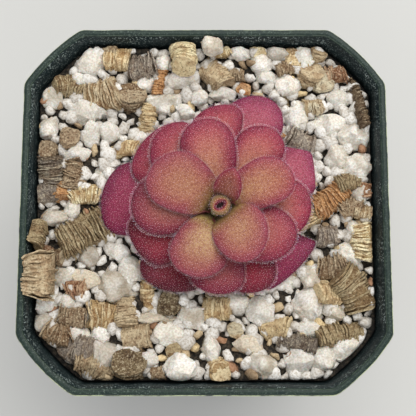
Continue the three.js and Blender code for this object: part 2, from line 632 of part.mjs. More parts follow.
// A closed blade: the same grid of facets above and below its middle surface, joined round the margin.
function makeLeaf(leaf) {
  const columns = ACROSS_STEPS + 1;
  const faceSize = ALONG_STEPS * columns + 1; // the tip is a single point
  const points = [];
  for (const side of [1, -1]) {
    for (let k = 0; k < faceSize; k += 1) {
      const row = Math.floor(k / columns);
      const along = 1 - (1 - row / ALONG_STEPS) ** 1.5;
      const across = row === ALONG_STEPS ? 0 : (2 * (k % columns)) / ACROSS_STEPS - 1;
      const offset = (side * bladeThickness(leaf, along, across)) / 2;
      points.push(bladePoint(leaf, along, across).addScaledVector(bladeNormal(leaf, along, across), offset));
    }
  }
  const at = (row, column) => (row === ALONG_STEPS ? faceSize - 1 : row * columns + column);
  const triangles = [];
  const facet = (a, b, c) => triangles.push([a, b, c], [c + faceSize, b + faceSize, a + faceSize]);
  for (let row = 0; row < ALONG_STEPS; row += 1) {
    for (let column = 0; column < ACROSS_STEPS; column += 1) {
      facet(at(row, column), at(row + 1, column + 1), at(row, column + 1));
      if (row + 1 < ALONG_STEPS) facet(at(row, column), at(row + 1, column), at(row + 1, column + 1));
    }
  }
  const margin = [];
  for (let row = 0; row <= ALONG_STEPS; row += 1) margin.push(at(row, 0));
  for (let row = ALONG_STEPS - 1; row >= 0; row -= 1) margin.push(at(row, ACROSS_STEPS));
  for (let column = ACROSS_STEPS - 1; column > 0; column -= 1) margin.push(at(0, column));
  margin.forEach((here, k) => {
    const next = margin[(k + 1) % margin.length];
    triangles.push([next, here, here + faceSize], [next, here + faceSize, next + faceSize]);
  });
  return indexedGeometry(points, triangles);
}

// ---------------------------------------------------------------- assembly
function piece(name, geometry, colour, roughness) {
  const mesh = new THREE.Mesh(geometry, material(colour, roughness));
  mesh.name = name;
  return mesh;
}

const butterwort = new THREE.Group();
butterwort.add(piece("pot", makePot(), COLOURS.pot, 0.45));
butterwort.add(piece("growing_mix", makeMix(), COLOURS.mix, 0.95));

const rosette = new THREE.Group();
rosette.position.set(ROSETTE.x, ROSETTE.y, ROSETTE.z);
rosette.add(piece("crown", makeCrown(), COLOURS.crown, 0.6));

const bud = piece("leaf_bud", upright(BUD_PROFILE, BUD_SIDES), COLOURS.bud, 0.5);
bud.position.z = CROWN_TOP + CLEARANCE;
rosette.add(bud);

for (const leaf of LEAVES) {
  const blade = piece(`leaf_${leaf.name}`, makeLeaf(leaf), COLOURS[leaf.name.split("_")[0]], 0.5);
  blade.rotation.z = THREE.MathUtils.degToRad(leaf.azimuth);
  blade.position.z = leaf.level;
  rosette.add(blade);
}
butterwort.add(rosette);

export default butterwort;
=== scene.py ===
# %% [markdown]
# # A butterwort in its nursery pot
#
# A butterwort catches gnats with its leaves. They are thick, soft and round, they lie over each other
# in a flat rosette, and each is covered in hairs that carry a drop of glue. This one grows in a thin
# square plastic pot, in a coarse mix of white perlite and golden vermiculite.
#
# The solid model of the plant and its pot is loaded first. It is the frame: every piece made below is
# written in the same place, so nothing has to be fitted afterwards. Lengths here are in millimetres,
# as on a drawing, and a helper turns them into Blender's metres when a mesh is made.

# %% Load the frame
import math
from dataclasses import dataclass

import bmesh
import bpy
import numpy as np
from mathutils import Euler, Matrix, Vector, noise


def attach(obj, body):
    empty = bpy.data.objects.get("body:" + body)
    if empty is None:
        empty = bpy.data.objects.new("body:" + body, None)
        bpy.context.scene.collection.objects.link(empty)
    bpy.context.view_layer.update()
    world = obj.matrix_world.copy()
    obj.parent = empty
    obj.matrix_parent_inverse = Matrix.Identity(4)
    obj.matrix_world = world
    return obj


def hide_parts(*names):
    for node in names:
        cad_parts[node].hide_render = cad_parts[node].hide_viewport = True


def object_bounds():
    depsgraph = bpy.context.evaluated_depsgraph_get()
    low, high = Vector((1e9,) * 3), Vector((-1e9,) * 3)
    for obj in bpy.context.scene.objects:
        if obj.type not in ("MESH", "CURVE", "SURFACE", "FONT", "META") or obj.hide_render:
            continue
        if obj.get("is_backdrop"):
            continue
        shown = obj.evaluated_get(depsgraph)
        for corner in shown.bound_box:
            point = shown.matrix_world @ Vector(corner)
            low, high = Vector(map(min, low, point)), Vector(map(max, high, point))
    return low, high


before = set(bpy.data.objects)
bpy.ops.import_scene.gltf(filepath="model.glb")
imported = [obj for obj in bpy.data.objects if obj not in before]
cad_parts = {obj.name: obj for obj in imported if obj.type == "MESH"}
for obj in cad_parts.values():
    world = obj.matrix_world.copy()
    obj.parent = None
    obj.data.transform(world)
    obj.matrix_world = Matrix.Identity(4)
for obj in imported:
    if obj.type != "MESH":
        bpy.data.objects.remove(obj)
CAD_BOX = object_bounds()
MM = 0.001
cad_size = [round(side / MM, 1) for side in CAD_BOX[1] - CAD_BOX[0]]
print("frame:", len(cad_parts), "nodes,", cad_size, "mm")

# %% [markdown]
# ## Camera, light and floor
#
# The camera looks almost straight down into the pot, leaning a little from the front. The light is
# what a white room gives: a pale sky all round, one broad soft lamp behind and above the pot, so that
# the grains of the mix keep a bright side and a shaded side, and a weak one from the front, as from a
# white wall, so that the shadow in front of the pot isn't deep.

# %% Camera
CAMERA_PLACE = (0.69, -23.24, 228.35)
CAMERA_TILT = 8.24  # degrees from straight down
CAMERA_LENS = 67.7
CAMERA_NEAR = 10

camera = bpy.data.objects.new("camera", bpy.data.cameras.new("camera"))
camera.location = Vector(CAMERA_PLACE) * MM
camera.rotation_euler = (math.radians(CAMERA_TILT), 0, 0)
camera.data.lens = CAMERA_LENS
camera.data.clip_start = CAMERA_NEAR * MM
bpy.context.collection.objects.link(camera)
bpy.context.scene.camera = camera

# %% Light
SKY_COLOUR, SKY_STRENGTH = (0.93, 0.95, 1.0, 1), 0.65
LAMP_COLOUR = (1.0, 0.98, 0.95)
LAMPS = {  # place and width in metres, and power in watts
    "window": ((0.12, 0.24, 0.48), 0.5, 2.8),
    "wall": ((-0.05, -0.5, 0.2), 0.6, 1.65),
}

for name, (place, width, power) in LAMPS.items():
    lamp = bpy.data.objects.new(name, bpy.data.lights.new(name, "AREA"))
    lamp.data.size = width
    lamp.data.energy = power
    lamp.data.color = LAMP_COLOUR
    lamp.location = place
    rim_middle = Vector((0, 0, CAD_BOX[1].z))
    lamp.rotation_euler = (rim_middle - lamp.location).to_track_quat("-Z", "Y").to_euler()
    bpy.context.collection.objects.link(lamp)
world = bpy.data.worlds.new("pale room")
world.use_nodes = True
sky = world.node_tree.nodes["Background"].inputs
sky["Color"].default_value = SKY_COLOUR
sky["Strength"].default_value = SKY_STRENGTH
bpy.context.scene.world = world
bpy.context.scene.view_settings.view_transform = "Standard"

# %% [markdown]
# ## Helpers for nodes and meshes
#
# A material and a Geometry Nodes tree are both made of nodes, so one short helper writes both: it adds
# a node to the tree that was opened last, sets its options and fills its inputs. It hands back a wire,
# which stands for one of the node's outputs. A sum on wires adds a Math node, so a tree reads like a
# list of steps in plain arithmetic.

# %% Node helpers
OPENED = []  # every node tree; the helpers write into the last


def socket_of(sockets, key):
    """A node's socket by its name, or by its place among those in use."""
    usable = [socket for socket in sockets if socket.enabled]
    return usable[key] if isinstance(key, int) else next(s for s in usable if s.name == key)


def fill(socket, value):
    """Links a wire to a socket, or sets the socket's own value."""
    if isinstance(value, Wire):
        socket.id_data.links.new(value.socket, socket)
    else:
        socket.default_value = value


def add(kind, inputs=(), out=0, **options):
    """Adds a node, sets its options, fills its inputs, and returns one of its outputs."""
    node = OPENED[-1].nodes.new(kind)
    for option, value in options.items():
        setattr(node, option, value)
    for key, value in dict(inputs).items():
        fill(socket_of(node.inputs, key), value)
    return Wire(socket_of(node.outputs, out))


def calc(operation, *values):
    """One sum on numbers."""
    return add("ShaderNodeMath", enumerate(values), operation=operation)


class Wire:
    """An output of a node, which plain sums can be done on."""

    def __init__(self, socket):
        self.socket = socket

    def other(self, key):
        """Another output of the same node."""
        return Wire(socket_of(self.socket.node.outputs, key))

    def __abs__(self):
        return calc("ABSOLUTE", self)

    def __round__(self):
        return calc("ROUND", self)


for sign, operation in (("add", "ADD"), ("sub", "SUBTRACT"), ("mul", "MULTIPLY"), ("truediv", "DIVIDE"),
                        ("pow", "POWER"), ("gt", "GREATER_THAN"), ("lt", "LESS_THAN")):
    setattr(Wire, f"__{sign}__", lambda wire, value, operation=operation: calc(operation, wire, value))
    setattr(Wire, f"__r{sign}__", lambda wire, value, operation=operation: calc(operation, value, wire))


def ramp(value, low, high, soft=True, to=(0.0, 1.0)):
    """0 below low, 1 above high, or the two levels given, and an even or soft slope between."""
    steps = {"Value": value, "From Min": low, "From Max": high}
    if not soft:
        steps.update({"To Min": to[0], "To Max": to[1]})
    return add("ShaderNodeMapRange", steps, interpolation_type="SMOOTHSTEP" if soft else "LINEAR")


def vector(operation, *values):
    """One sum on vectors."""
    return add("ShaderNodeVectorMath", enumerate(values), operation=operation)


def combine(**axes):
    """A vector from its axes."""
    return add("ShaderNodeCombineXYZ", axes)


def axis_of(value, axis):
    """One axis of a vector."""
    return add("ShaderNodeSeparateXYZ", {"Vector": value}, out=axis)


# %% Material helpers
def rgb(red, green, blue):
    """A colour given as on a screen, from 0 to 255, as a linear colour."""
    def linear(level):
        share = level / 255
        return share / 12.92 if share <= 0.04045 else ((share + 0.055) / 1.055) ** 2.4
    return (linear(red), linear(green), linear(blue), 1.0)


def blend(factor, low, high, mode="MIX"):
    """One colour over another."""
    return add("ShaderNodeMix", {"Factor": factor, "A": low, "B": high}, data_type="RGBA", blend_type=mode)


def tinted(colour, tint):
    return blend(1.0, colour, tint, "MULTIPLY")


def tinted_in_places(where, colour, tint):
    """A colour, multiplied by a tint in some places: stains and tone on some pieces, painted shade on others.
    """
    return blend(where, colour, tinted(colour, tint))


class Finish:
    """A Principled material. Plain values go straight on the shader's own sockets."""

    def __init__(self, name, **sockets):
        self.material = bpy.data.materials.new(name)
        self.material.use_nodes = True
        self.shader = self.material.node_tree.nodes["Principled BSDF"]
        OPENED.append(self.material.node_tree)
        self.place = add("ShaderNodeTexCoord", out="Object")
        self.paint(**sockets)

    def paint(self, **sockets):
        """Fills sockets of the shader."""
        for key, value in sockets.items():
            fill(self.shader.inputs[key.replace("_", " ")], value)

    def relief(self, height, depth, strength=1.0):
        """A bump whose full height is depth millimetres."""
        bump = {"Height": height, "Distance": depth * MM, "Strength": strength}
        self.paint(Normal=add("ShaderNodeBump", bump))

    def stored(self, name, out="Fac"):
        """A value that the mesh carries."""
        return add("ShaderNodeAttribute", out=out, attribute_name=name)

    def per_mm(self, features, detail=3.0, roughness=0.55):
        """A noise with so many features to the millimetre, between 0 and 1."""
        fields = {"Vector": self.place, "Scale": features / MM, "Detail": detail, "Roughness": roughness}
        return add("ShaderNodeTexNoise", fields)

    def cells_per_mm(self, features):
        """A pattern of cells, so many to the millimetre: the distance to the nearest cell's middle."""
        fields = {"Vector": self.place, "Scale": features / MM}
        return add("ShaderNodeTexVoronoi", fields, out="Distance", feature="F1")


# %% Mesh helpers
ATTRIBUTE_KINDS = {1: ("FLOAT", "value"), 3: ("FLOAT_VECTOR", "vector"), 4: ("FLOAT_COLOR", "color")}


def mesh_piece(name, vertices, faces, material=None):
    """A smooth mesh object at the origin, from vertices in millimetres."""
    mesh = bpy.data.meshes.new(name)
    mesh.from_pydata([tuple(axis * MM for axis in vertex) for vertex in vertices], [], faces)
    mesh.shade_smooth()
    if material:
        mesh.materials.append(material)
    return placed(name, mesh)


def placed(name, mesh):
    piece = bpy.data.objects.new(name, mesh)
    bpy.context.collection.objects.link(piece)
    return piece


def store(piece, name, values):
    """Keeps a number, vector or colour for each vertex on the mesh, for a material or a tree to read."""
    values = np.asarray(values, np.float32)
    kind, field = ATTRIBUTE_KINDS[values.size // len(values)]
    piece.data.attributes.new(name, kind, "POINT").data.foreach_set(field, values.ravel())


def baked(piece):
    """A piece's mesh with its modifiers applied."""
    graph = bpy.context.evaluated_depsgraph_get()
    return bpy.data.meshes.new_from_object(
        piece.evaluated_get(graph), preserve_all_data_layers=True, depsgraph=graph)


def circle(radius, sides, x=0.0, y=0.0, z=0.0):
    """A circle's points, anticlockwise from +X. Its radius and its height may follow the angle."""
    ring = []
    for k in range(sides):
        angle = math.tau * k / sides
        reach, height = (size(angle) if callable(size) else size for size in (radius, z))
        ring.append((x + reach * math.cos(angle), y + reach * math.sin(angle), height))
    return ring


def loft(rings):
    """Vertices and faces of a closed body through rings of equal length, capped at both ends."""
    size = len(rings[0])
    vertices = [point for ring in rings for point in ring]
    faces = [tuple(reversed(range(size)))]
    for row in range(len(rings) - 1):
        for k in range(size):
            a, b = row * size + k, row * size + (k + 1) % size
            faces.append((a, b, b + size, a + size))
    faces.append(tuple(range((len(rings) - 1) * size, len(rings) * size)))
    return vertices, faces


def settle(piece, slot, *nodes):
    """A finished piece rides on the part's one body and takes the nodes it stands for, which are hidden. Its
    slot is not used.
    """
    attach(piece, "root")
    if nodes:
        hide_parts(*nodes)
    print(piece.name, len(piece.data.polygons), "faces")


def seeded_random(seed):
    """Numbers between 0 and 1, the same on every run (the generator is known as Mulberry32)."""
    state = seed

    def draw():
        nonlocal state
        state = (state + 0x6D2B79F5) & 0xFFFFFFFF
        mixed = (state ^ state >> 15) * (state | 1) & 0xFFFFFFFF
        mixed ^= mixed + ((mixed ^ mixed >> 7) * (mixed | 61) & 0xFFFFFFFF) & 0xFFFFFFFF
        return (mixed ^ mixed >> 14) / 2**32

    return draw


# %% [markdown]
# ## The pot
#
# Seen from above the pot is a square with its corners cut off, and the cuts bow out a little. All of
# the wall is this one outline at different insets and heights: up the outside, over the rolled lip,
# and down the inside. So the wall is a loft. Its profile is a short list of corners that a helper
# rounds off, because moulded plastic has no sharp edges.

# %% The pot's sizes
RIM_WIDTH = 76.0
POT_HEIGHT = 70.0
CORNER_CUT = 11.8
CORNER_BULGE = 0.9
FLOOR = 1.2
FOOT_INSET = 8.4
WALL = 1.0
LIP_DEPTH = 1.6
STEP_HEIGHT = 58.4  # the pots nest down to this step
STEP_RISE = 1.1
CLEARANCE = 0.35  # between the solid model's pieces
RIDGE_WIDTH, RIDGE_LENGTH, RIDGE_RISE = 9.0, 50.0, 2.0
DRAIN_RADIUS, DRAIN_REACH = 3.0, 17.0

UNDER_LIP, ABOVE_STEP = (2.0, POT_HEIGHT - LIP_DEPTH), (2.4, STEP_HEIGHT + STEP_RISE)  # on the inner wall
BELOW_STEP, ABOVE_FLOOR = (2.6 + WALL, STEP_HEIGHT), (FOOT_INSET + WALL, FLOOR + 0.7)
POT_PROFILE = [  # inset from the lip's outline, and height: up the outside, and down the inside
    (FOOT_INSET + 0.7, 0.0), (FOOT_INSET, 0.8), (2.6, STEP_HEIGHT), (1.4, STEP_HEIGHT + 0.8),
    (1.0, POT_HEIGHT - LIP_DEPTH), (0.0, POT_HEIGHT - 1.4), (0.0, POT_HEIGHT - 0.4), (0.4, POT_HEIGHT),
    (1.1, POT_HEIGHT), (1.5, POT_HEIGHT - 0.3), UNDER_LIP, ABOVE_STEP,
    BELOW_STEP, ABOVE_FLOOR, (FOOT_INSET + WALL + 0.7, FLOOR),
]

# %% The pot's outline and profile
SIDE_STEPS, CORNER_STEPS = 48, 16
RING_SIZE = 4 * (SIDE_STEPS + CORNER_STEPS)
KINK_SOFTNESS = 2  # points on each side that a kink of the outline is spread over
KINK_CROWDING = 0.75  # how much closer the points lie near the kinks, from 0 to under 1
CURVE_STEPS = 3


def corner_cut(inset):
    return CORNER_CUT - (2 - math.sqrt(2)) * inset


def crowded(steps):
    """Steps from 0 to 1 that lie closer near both ends."""
    even = np.arange(steps) / steps
    return even + KINK_CROWDING * ((1 - np.cos(math.pi * even)) / 2 - even)


def outline(inset, height):
    """The pot's outline at an inset from its lip, as points anticlockwise."""
    half, cut = RIM_WIDTH / 2 - inset, corner_cut(inset)
    quarter = [Vector((half, (half - cut) * (2 * t - 1))) for t in crowded(SIDE_STEPS)]
    for t in crowded(CORNER_STEPS):
        bulge = CORNER_BULGE * 4 * t * (1 - t) / math.sqrt(2)
        quarter.append(Vector((half - cut * t + bulge, half - cut * (1 - t) + bulge)))
    turns = [np.array([(p.x, p.y) for p in quarter])]
    while len(turns) < 4:
        turns.append(np.stack([-turns[-1][:, 1], turns[-1][:, 0]], 1))
    ring = np.concatenate(turns)
    window = range(-KINK_SOFTNESS, KINK_SOFTNESS + 1)
    ring = sum(np.roll(ring, shift, 0) for shift in window) / len(window)
    return [(x, y, height) for x, y in ring]


def rounded(profile, radius):
    """A profile whose corners are cut short of radius and replaced by small curves."""
    made = [Vector(profile[0])]
    for before, corner, after in zip(profile, profile[1:], profile[2:]):
        here = Vector(corner)
        back, on = Vector(before) - here, Vector(after) - here
        start = here + back.normalized() * min(radius, back.length * 0.4)
        end = here + on.normalized() * min(radius, on.length * 0.4)
        for k in range(CURVE_STEPS + 1):
            t = k / CURVE_STEPS
            made.append(start * (1 - t) ** 2 + here * 2 * t * (1 - t) + end * t * t)
    return made + [Vector(profile[-1])]


def divided(profile, longest):
    """A profile with extra points, so that no stretch of it is longer than so many millimetres."""
    made = [profile[0]]
    for start, end in zip(profile, profile[1:]):
        count = math.ceil((end - start).length / longest)
        made += [start.lerp(end, k / count) for k in range(1, count + 1)]
    return made


# %% [markdown]
# A moulded lip is never quite even. Its edge wanders by a tenth of a millimetre or so, and here a slow
# noise moves it inwards only, so that the pot keeps its width. The floor has two crossing drain ridges
# and five holes. They are cut and joined with Boolean modifiers, which are then applied. Each vertex
# remembers how far it lies from the lip's edge and whether it is on the inside, for the finish.

# %% Build the pot
LIP_WANDER = 0.1
WANDER_DEPTH = 9  # how far down the lip's unevenness dies away
WANDERS_PER_MM = 0.16
PROFILE_ROUNDING = 0.45
LONGEST_STRETCH = 5.0
DRAIN_SIDES = 40
CUT_ROOM = 1  # how far a cutting tool reaches past what it cuts
SHARP_EDGE = 40  # degrees


def wander(vertex):
    """A point of the wall, moved inwards by a slow noise near the lip."""
    x, y, z = vertex
    share = max(0.0, 1 - (POT_HEIGHT - z) / WANDER_DEPTH)
    inwards = LIP_WANDER * share * max(0.0, 0.5 + noise.noise(Vector((x, y, 0)) * WANDERS_PER_MM))
    kept = 1 - inwards / (RIM_WIDTH / 2)
    return (x * kept, y * kept, z)


def carve(piece, tool, operation):
    """Joins a tool to a piece, or cuts it away, and removes the tool."""
    modifier = piece.modifiers.new(operation, "BOOLEAN")
    modifier.operation, modifier.object, modifier.solver = operation, tool, "EXACT"
    mesh = baked(piece)
    piece.modifiers.remove(modifier)
    piece.data = mesh
    bpy.data.objects.remove(tool)


def bar(width, depth, low, high):
    """A plain bar in the middle of the pot, for the floor's ridges."""
    x, y = width / 2, depth / 2
    return mesh_piece("bar", *loft([[(x, -y, z), (x, y, z), (-x, y, z), (-x, -y, z)] for z in (low, high)]))


def post(radius, low, high, x, y):
    """A round post, for a hole."""
    return mesh_piece("post", *loft([circle(radius, DRAIN_SIDES, x, y, z) for z in (low, high)]))


profile = divided(rounded(POT_PROFILE, PROFILE_ROUNDING), LONGEST_STRETCH)
vertices, faces = loft([outline(inset, height) for inset, height in profile])
pot = mesh_piece("nursery_pot", [wander(vertex) for vertex in vertices], faces)
from_edge = [inset + abs(POT_HEIGHT - height) / 3 for inset, height in profile]
store(pot, "from_edge", np.repeat(from_edge, RING_SIZE))
top = max(range(len(profile)), key=lambda k: profile[k].y)
store(pot, "inside", np.repeat(np.arange(len(profile)) > top, RING_SIZE))
RIDGES = ((RIDGE_LENGTH, RIDGE_WIDTH), (RIDGE_WIDTH, RIDGE_LENGTH))
for length, width in RIDGES:
    carve(pot, bar(length, width, FLOOR / 2, FLOOR + RIDGE_RISE), "UNION")
for length, width in RIDGES:
    carve(pot, bar(length - 2 * WALL, width - 2 * WALL, -CUT_ROOM, RIDGE_RISE), "DIFFERENCE")
for x, y in ((0, 0), (1, 0), (0, 1), (-1, 0), (0, -1)):
    hole = post(DRAIN_RADIUS, -CUT_ROOM, 6 * CUT_ROOM, x * DRAIN_REACH, y * DRAIN_REACH)
    carve(pot, hole, "DIFFERENCE")
pot.data.shade_smooth()
pot.data.set_sharp_from_angle(angle=math.radians(SHARP_EDGE))

# %% [markdown]
# The plastic is a dark green that looks almost black inside. Two things tell it from a plain colour:
# the lip, whose top is lighter, partly from wear and partly as painted sheen, with thin pale lines
# all round that are painted highlights, and the inner wall, where dust and specks of perlite have
# stuck. The lines follow the distance from the lip's edge that the vertices carry, and the dust is a
# noise. The specks are pale on the inner wall and dull on the outer one, and they thin out below the lip.

# %% Pot finish
# painted highlights: thin pale lines round the lip, placed by their distance from its edge, the first at its
# outer edge
LIP_HIGHLIGHTS = ((0.2, rgb(196, 206, 160)), (0.85, rgb(48, 62, 52)), (1.45, rgb(74, 86, 72)))  # from its edge
HIGHLIGHT_WIDTH = 0.09
# the lip's lighter top is partly wear and partly painted sheen
LIP_BAND = (0.7, 0.25)  # below the lip's top: where its worn top begins, and where it is complete
SPECK_BAND = (12, 4)  # below the lip's top: where the specks begin, and where there are most

plastic = Finish("dark green plastic", IOR=1.5, Specular_IOR_Level=0.2)
height = axis_of(plastic.place, "Z")
lip = ramp(height, *((POT_HEIGHT - below) * MM for below in LIP_BAND))
near_lip = ramp(height, *((POT_HEIGHT - below) * MM for below in SPECK_BAND), soft=False)
scuffs = plastic.per_mm(0.5, detail=6.0)
body = blend(plastic.per_mm(0.12), rgb(13, 25, 28), rgb(20, 36, 39))
# the lip's top is painted lighter: partly wear, partly painted sheen
worn_and_sheen = blend(lip * ramp(scuffs, 0.0, 0.6), body, rgb(31, 45, 39))
from_edge = plastic.stored("from_edge")
scuffed = ramp(scuffs, 0.3, 0.6)
# painted highlights: thin pale lines round the lip, broken up by a noise
for inset, colour in LIP_HIGHLIGHTS:
    worn_and_sheen = blend(ramp(abs(from_edge - inset), HIGHLIGHT_WIDTH, 0.3 * HIGHLIGHT_WIDTH) * scuffed, worn_and_sheen, colour)
dust = ramp(plastic.per_mm(1.8, detail=8.0, roughness=0.75), 0.5, 0.72)
dusty = blend(dust * 0.16, worn_and_sheen, rgb(124, 138, 138))
specks = ramp(plastic.per_mm(2.8, detail=2.0), 0.56, 0.64)
clouds = ramp(plastic.per_mm(0.2), 0.4, 0.6, soft=False, to=(0.25, 0.9))
on_wall = plastic.stored("inside") * ramp(lip, 1.0, 0.0)
speck_colour = blend(on_wall, rgb(80, 92, 84), rgb(150, 164, 160))
plastic.paint(Base_Color=blend(specks * clouds * near_lip, dusty, speck_colour))
plastic.paint(Roughness=ramp(dust, 0.0, 1.0, soft=False, to=(0.4, 0.75)))
plastic.relief(scuffs, 0.05, 0.4)
pot.data.materials.append(plastic.material)
settle(pot, "pot", "pot")

# %% [markdown]
# ## The rule of the rosette
#
# Each leaf grows further round the stem than the last one and a little lower, so the young leaves lie
# on top of the old. One rule draws them all: a blade runs out from a narrow foot, is widest at its
# shoulder and ends round, arches up from the stem, and is bowed across. A leaf is then a few numbers,
# and the growing mix below can ask the same rule where it is sheltered.

# %% The leaves' sizes
ROSETTE = Vector((3.1, -0.3, 64.8))
LEAF_GAP = 0.5  # crown to a leaf's foot in the solid model
LEAF_EDGE = 0.6
LEAF_SWELL = 0.12
LEAF_CAMBER = 0.6
LEAF_FOOT_SHARE = 0.2  # width of a leaf's foot over its blade's
LEAF_BASE_POWER = 0.6
LEAF_TIP_POWER = 0.48
LEAF_ARCH = 2.3
OLDEST_LIFT, INNER_LIFT, YOUNG_LIFT = 0.0, 4.0, 5.5
CROWN_TOP, CROWN_TOP_RADIUS, CROWN_FLARE = 7.4, 1.25, 0.36


def crown_radius(level):
    return CROWN_TOP_RADIUS + CROWN_FLARE * (CROWN_TOP - level)


@dataclass
class Leaf:
    """A leaf in its own frame: X runs along it from the rosette's axis, and Z is up from its foot."""

    name: str
    azimuth: float  # degrees from +X, towards the back
    reach: float  # axis to tip
    width: float
    shoulder: float  # where along it the blade is widest
    sway: float  # sideways drift of the tip
    level: float  # height of its foot in the rosette
    pale: float  # 0 for a red heart, 1 for a yellow one
    tip: float = LEAF_TIP_POWER  # less is blunt and more is pointed
    broad: float = LEAF_FOOT_SHARE  # the leaves round the bud have broad feet that close the middle
    # partly its own colour and partly painted light: darker on the front left, lighter on the back and right,
    # towards the lamp
    shade: float = 1.0  # its brightness over its ring's
    lift: float = 0.0  # rise from foot to tip

    @property
    def foot(self):
        return crown_radius(self.level) + LEAF_GAP

    def half_width(self, along):
        """Half the blade's width, for numbers or arrays."""
        along = np.asarray(along, float)
        back = (self.shoulder - along) / self.shoulder
        on = (along - self.shoulder) / (1 - self.shoulder)
        swell = np.clip(1 - back**2, 0, None) ** LEAF_BASE_POWER
        base = self.broad + (1 - self.broad) * swell
        tip = np.clip(1 - on**2, 0, None) ** self.tip
        return self.width / 2 * np.where(along < self.shoulder, base, tip)

    def middle(self, along, across):
        """Points halfway through the blade: along 0 at its foot to 1 at its tip, across -1 to 1."""
        half = self.half_width(along)
        full = half / (self.width / 2)
        arch = LEAF_ARCH * along - (LEAF_ARCH - 1) * along**2
        x = self.foot + (self.reach - self.foot) * along
        y = across * half + self.sway * along**2
        z = self.lift * arch - LEAF_CAMBER * (across * full) ** 2
        return np.stack(np.broadcast_arrays(x, y, z), -1)

    def thickness(self, along, across):
        full = self.half_width(along) / (self.width / 2)
        return LEAF_EDGE + LEAF_SWELL * (1 - across**2) * full

    def spot(self, places):
        """Where places in the pot fall on this leaf: along and across it."""
        turn = math.radians(self.azimuth)
        offset = np.asarray(places)[:, :2] - np.array(ROSETTE.xy)
        along = (offset @ (math.cos(turn), math.sin(turn)) - self.foot) / (self.reach - self.foot)
        drift = offset @ (-math.sin(turn), math.cos(turn)) - self.sway * np.clip(along, 0, 1) ** 2
        return along, drift / np.maximum(self.half_width(np.clip(along, 0, 1)), 1e-6)

    def turned(self, x, y):
        """A plan direction in the leaf's own frame, as it lies in the pot."""
        turn = math.radians(self.azimuth)
        return x * math.cos(turn) - y * math.sin(turn), x * math.sin(turn) + y * math.cos(turn)

    def stand(self, points):
        """Points from the leaf's own frame, turned and set in the pot."""
        x, y, z = np.moveaxis(np.asarray(points), -1, 0)
        return np.stack([*self.turned(x, y), z + self.level], -1) + np.array(ROSETTE)


# %% The leaves, youngest first
LEAVES = [
    Leaf("young", 65, 7.4, 5.6, 0.3, 0.3, 7.4, pale=0.0, tip=0.75, broad=0.6, shade=0.94),
    Leaf("inner_1", 310, 12.6, 11.3, 0.4, -1.2, 7.0, pale=0.5, broad=0.5, shade=0.97),
    Leaf("inner_2", 147, 15.7, 12.3, 0.6, 1.1, 6.1, pale=0.35, broad=0.36, shade=0.96),
    Leaf("inner_3", 31, 16.0, 10.0, 0.65, -1.2, 5.6, pale=0.45, broad=0.38, shade=1.08),
    Leaf("inner_4", 247, 15.3, 11.6, 0.6, -0.8, 5.2, pale=1.0, broad=0.45, shade=0.89),
    Leaf("middle_1", 101, 18.4, 11.3, 0.65, 0.1, 4.8, pale=0.5, shade=1.02),
    Leaf("middle_2", 327, 16.7, 12.2, 0.5, 1.3, 3.8, pale=0.2, shade=0.97),
    Leaf("middle_3", 179, 18.0, 11.9, 0.65, -0.3, 4.1, pale=0.3, shade=0.75),
    Leaf("middle_4", 58, 19.7, 10.2, 0.7, -0.8, 3.6, pale=0.45, shade=1.12),
    Leaf("middle_5", 265, 17.5, 11.6, 0.7, 0.9, 2.7, pale=0.0, shade=0.81),
    Leaf("middle_6", 125, 20.6, 13.2, 0.6, -0.2, 3.1, pale=0.2, shade=1.08),
    Leaf("outer_1", 1, 18.9, 12.1, 0.65, 0.4, 2.4, pale=0.35, shade=1.1),
    Leaf("outer_2", 210, 19.1, 11.5, 0.8, -2.5, 1.7, pale=0.0, shade=0.89),
    Leaf("outer_3", 98, 22.1, 11.1, 0.8, -3.2, 2.0, pale=0.1, shade=1.16),
    Leaf("outer_4", 290, 18.7, 12.4, 0.55, 2.2, 1.8, pale=0.0),
    Leaf("outer_5", 135, 21.9, 15.8, 0.75, -0.5, 0.9, pale=0.0, shade=1.1),
    Leaf("oldest_1", 25, 22.8, 12.6, 0.65, 1.4, 1.1, pale=0.0, tip=0.3, shade=1.14),
    Leaf("oldest_2", 239, 20.5, 14.3, 0.6, -4.0, 0.8, pale=0.0, shade=0.7),
    Leaf("oldest_3", 74, 26.6, 14.1, 0.65, -2.5, 0.0, pale=0.1, shade=1.14),
    Leaf("oldest_4", 315, 20.1, 14.4, 0.9, 3.2, 0.0, pale=0.0),
    Leaf("oldest_5", 170, 25.2, 15.9, 0.75, 1.0, 0.0, pale=0.0, shade=0.86),
]
LEAVES[0].lift = YOUNG_LIFT
for age, leaf in enumerate(LEAVES[1:]):
    leaf.lift = INNER_LIFT + (OLDEST_LIFT - INNER_LIFT) * age / (len(LEAVES) - 2)
print(len(LEAVES), "leaves, the widest", max(leaf.width for leaf in LEAVES), "mm")
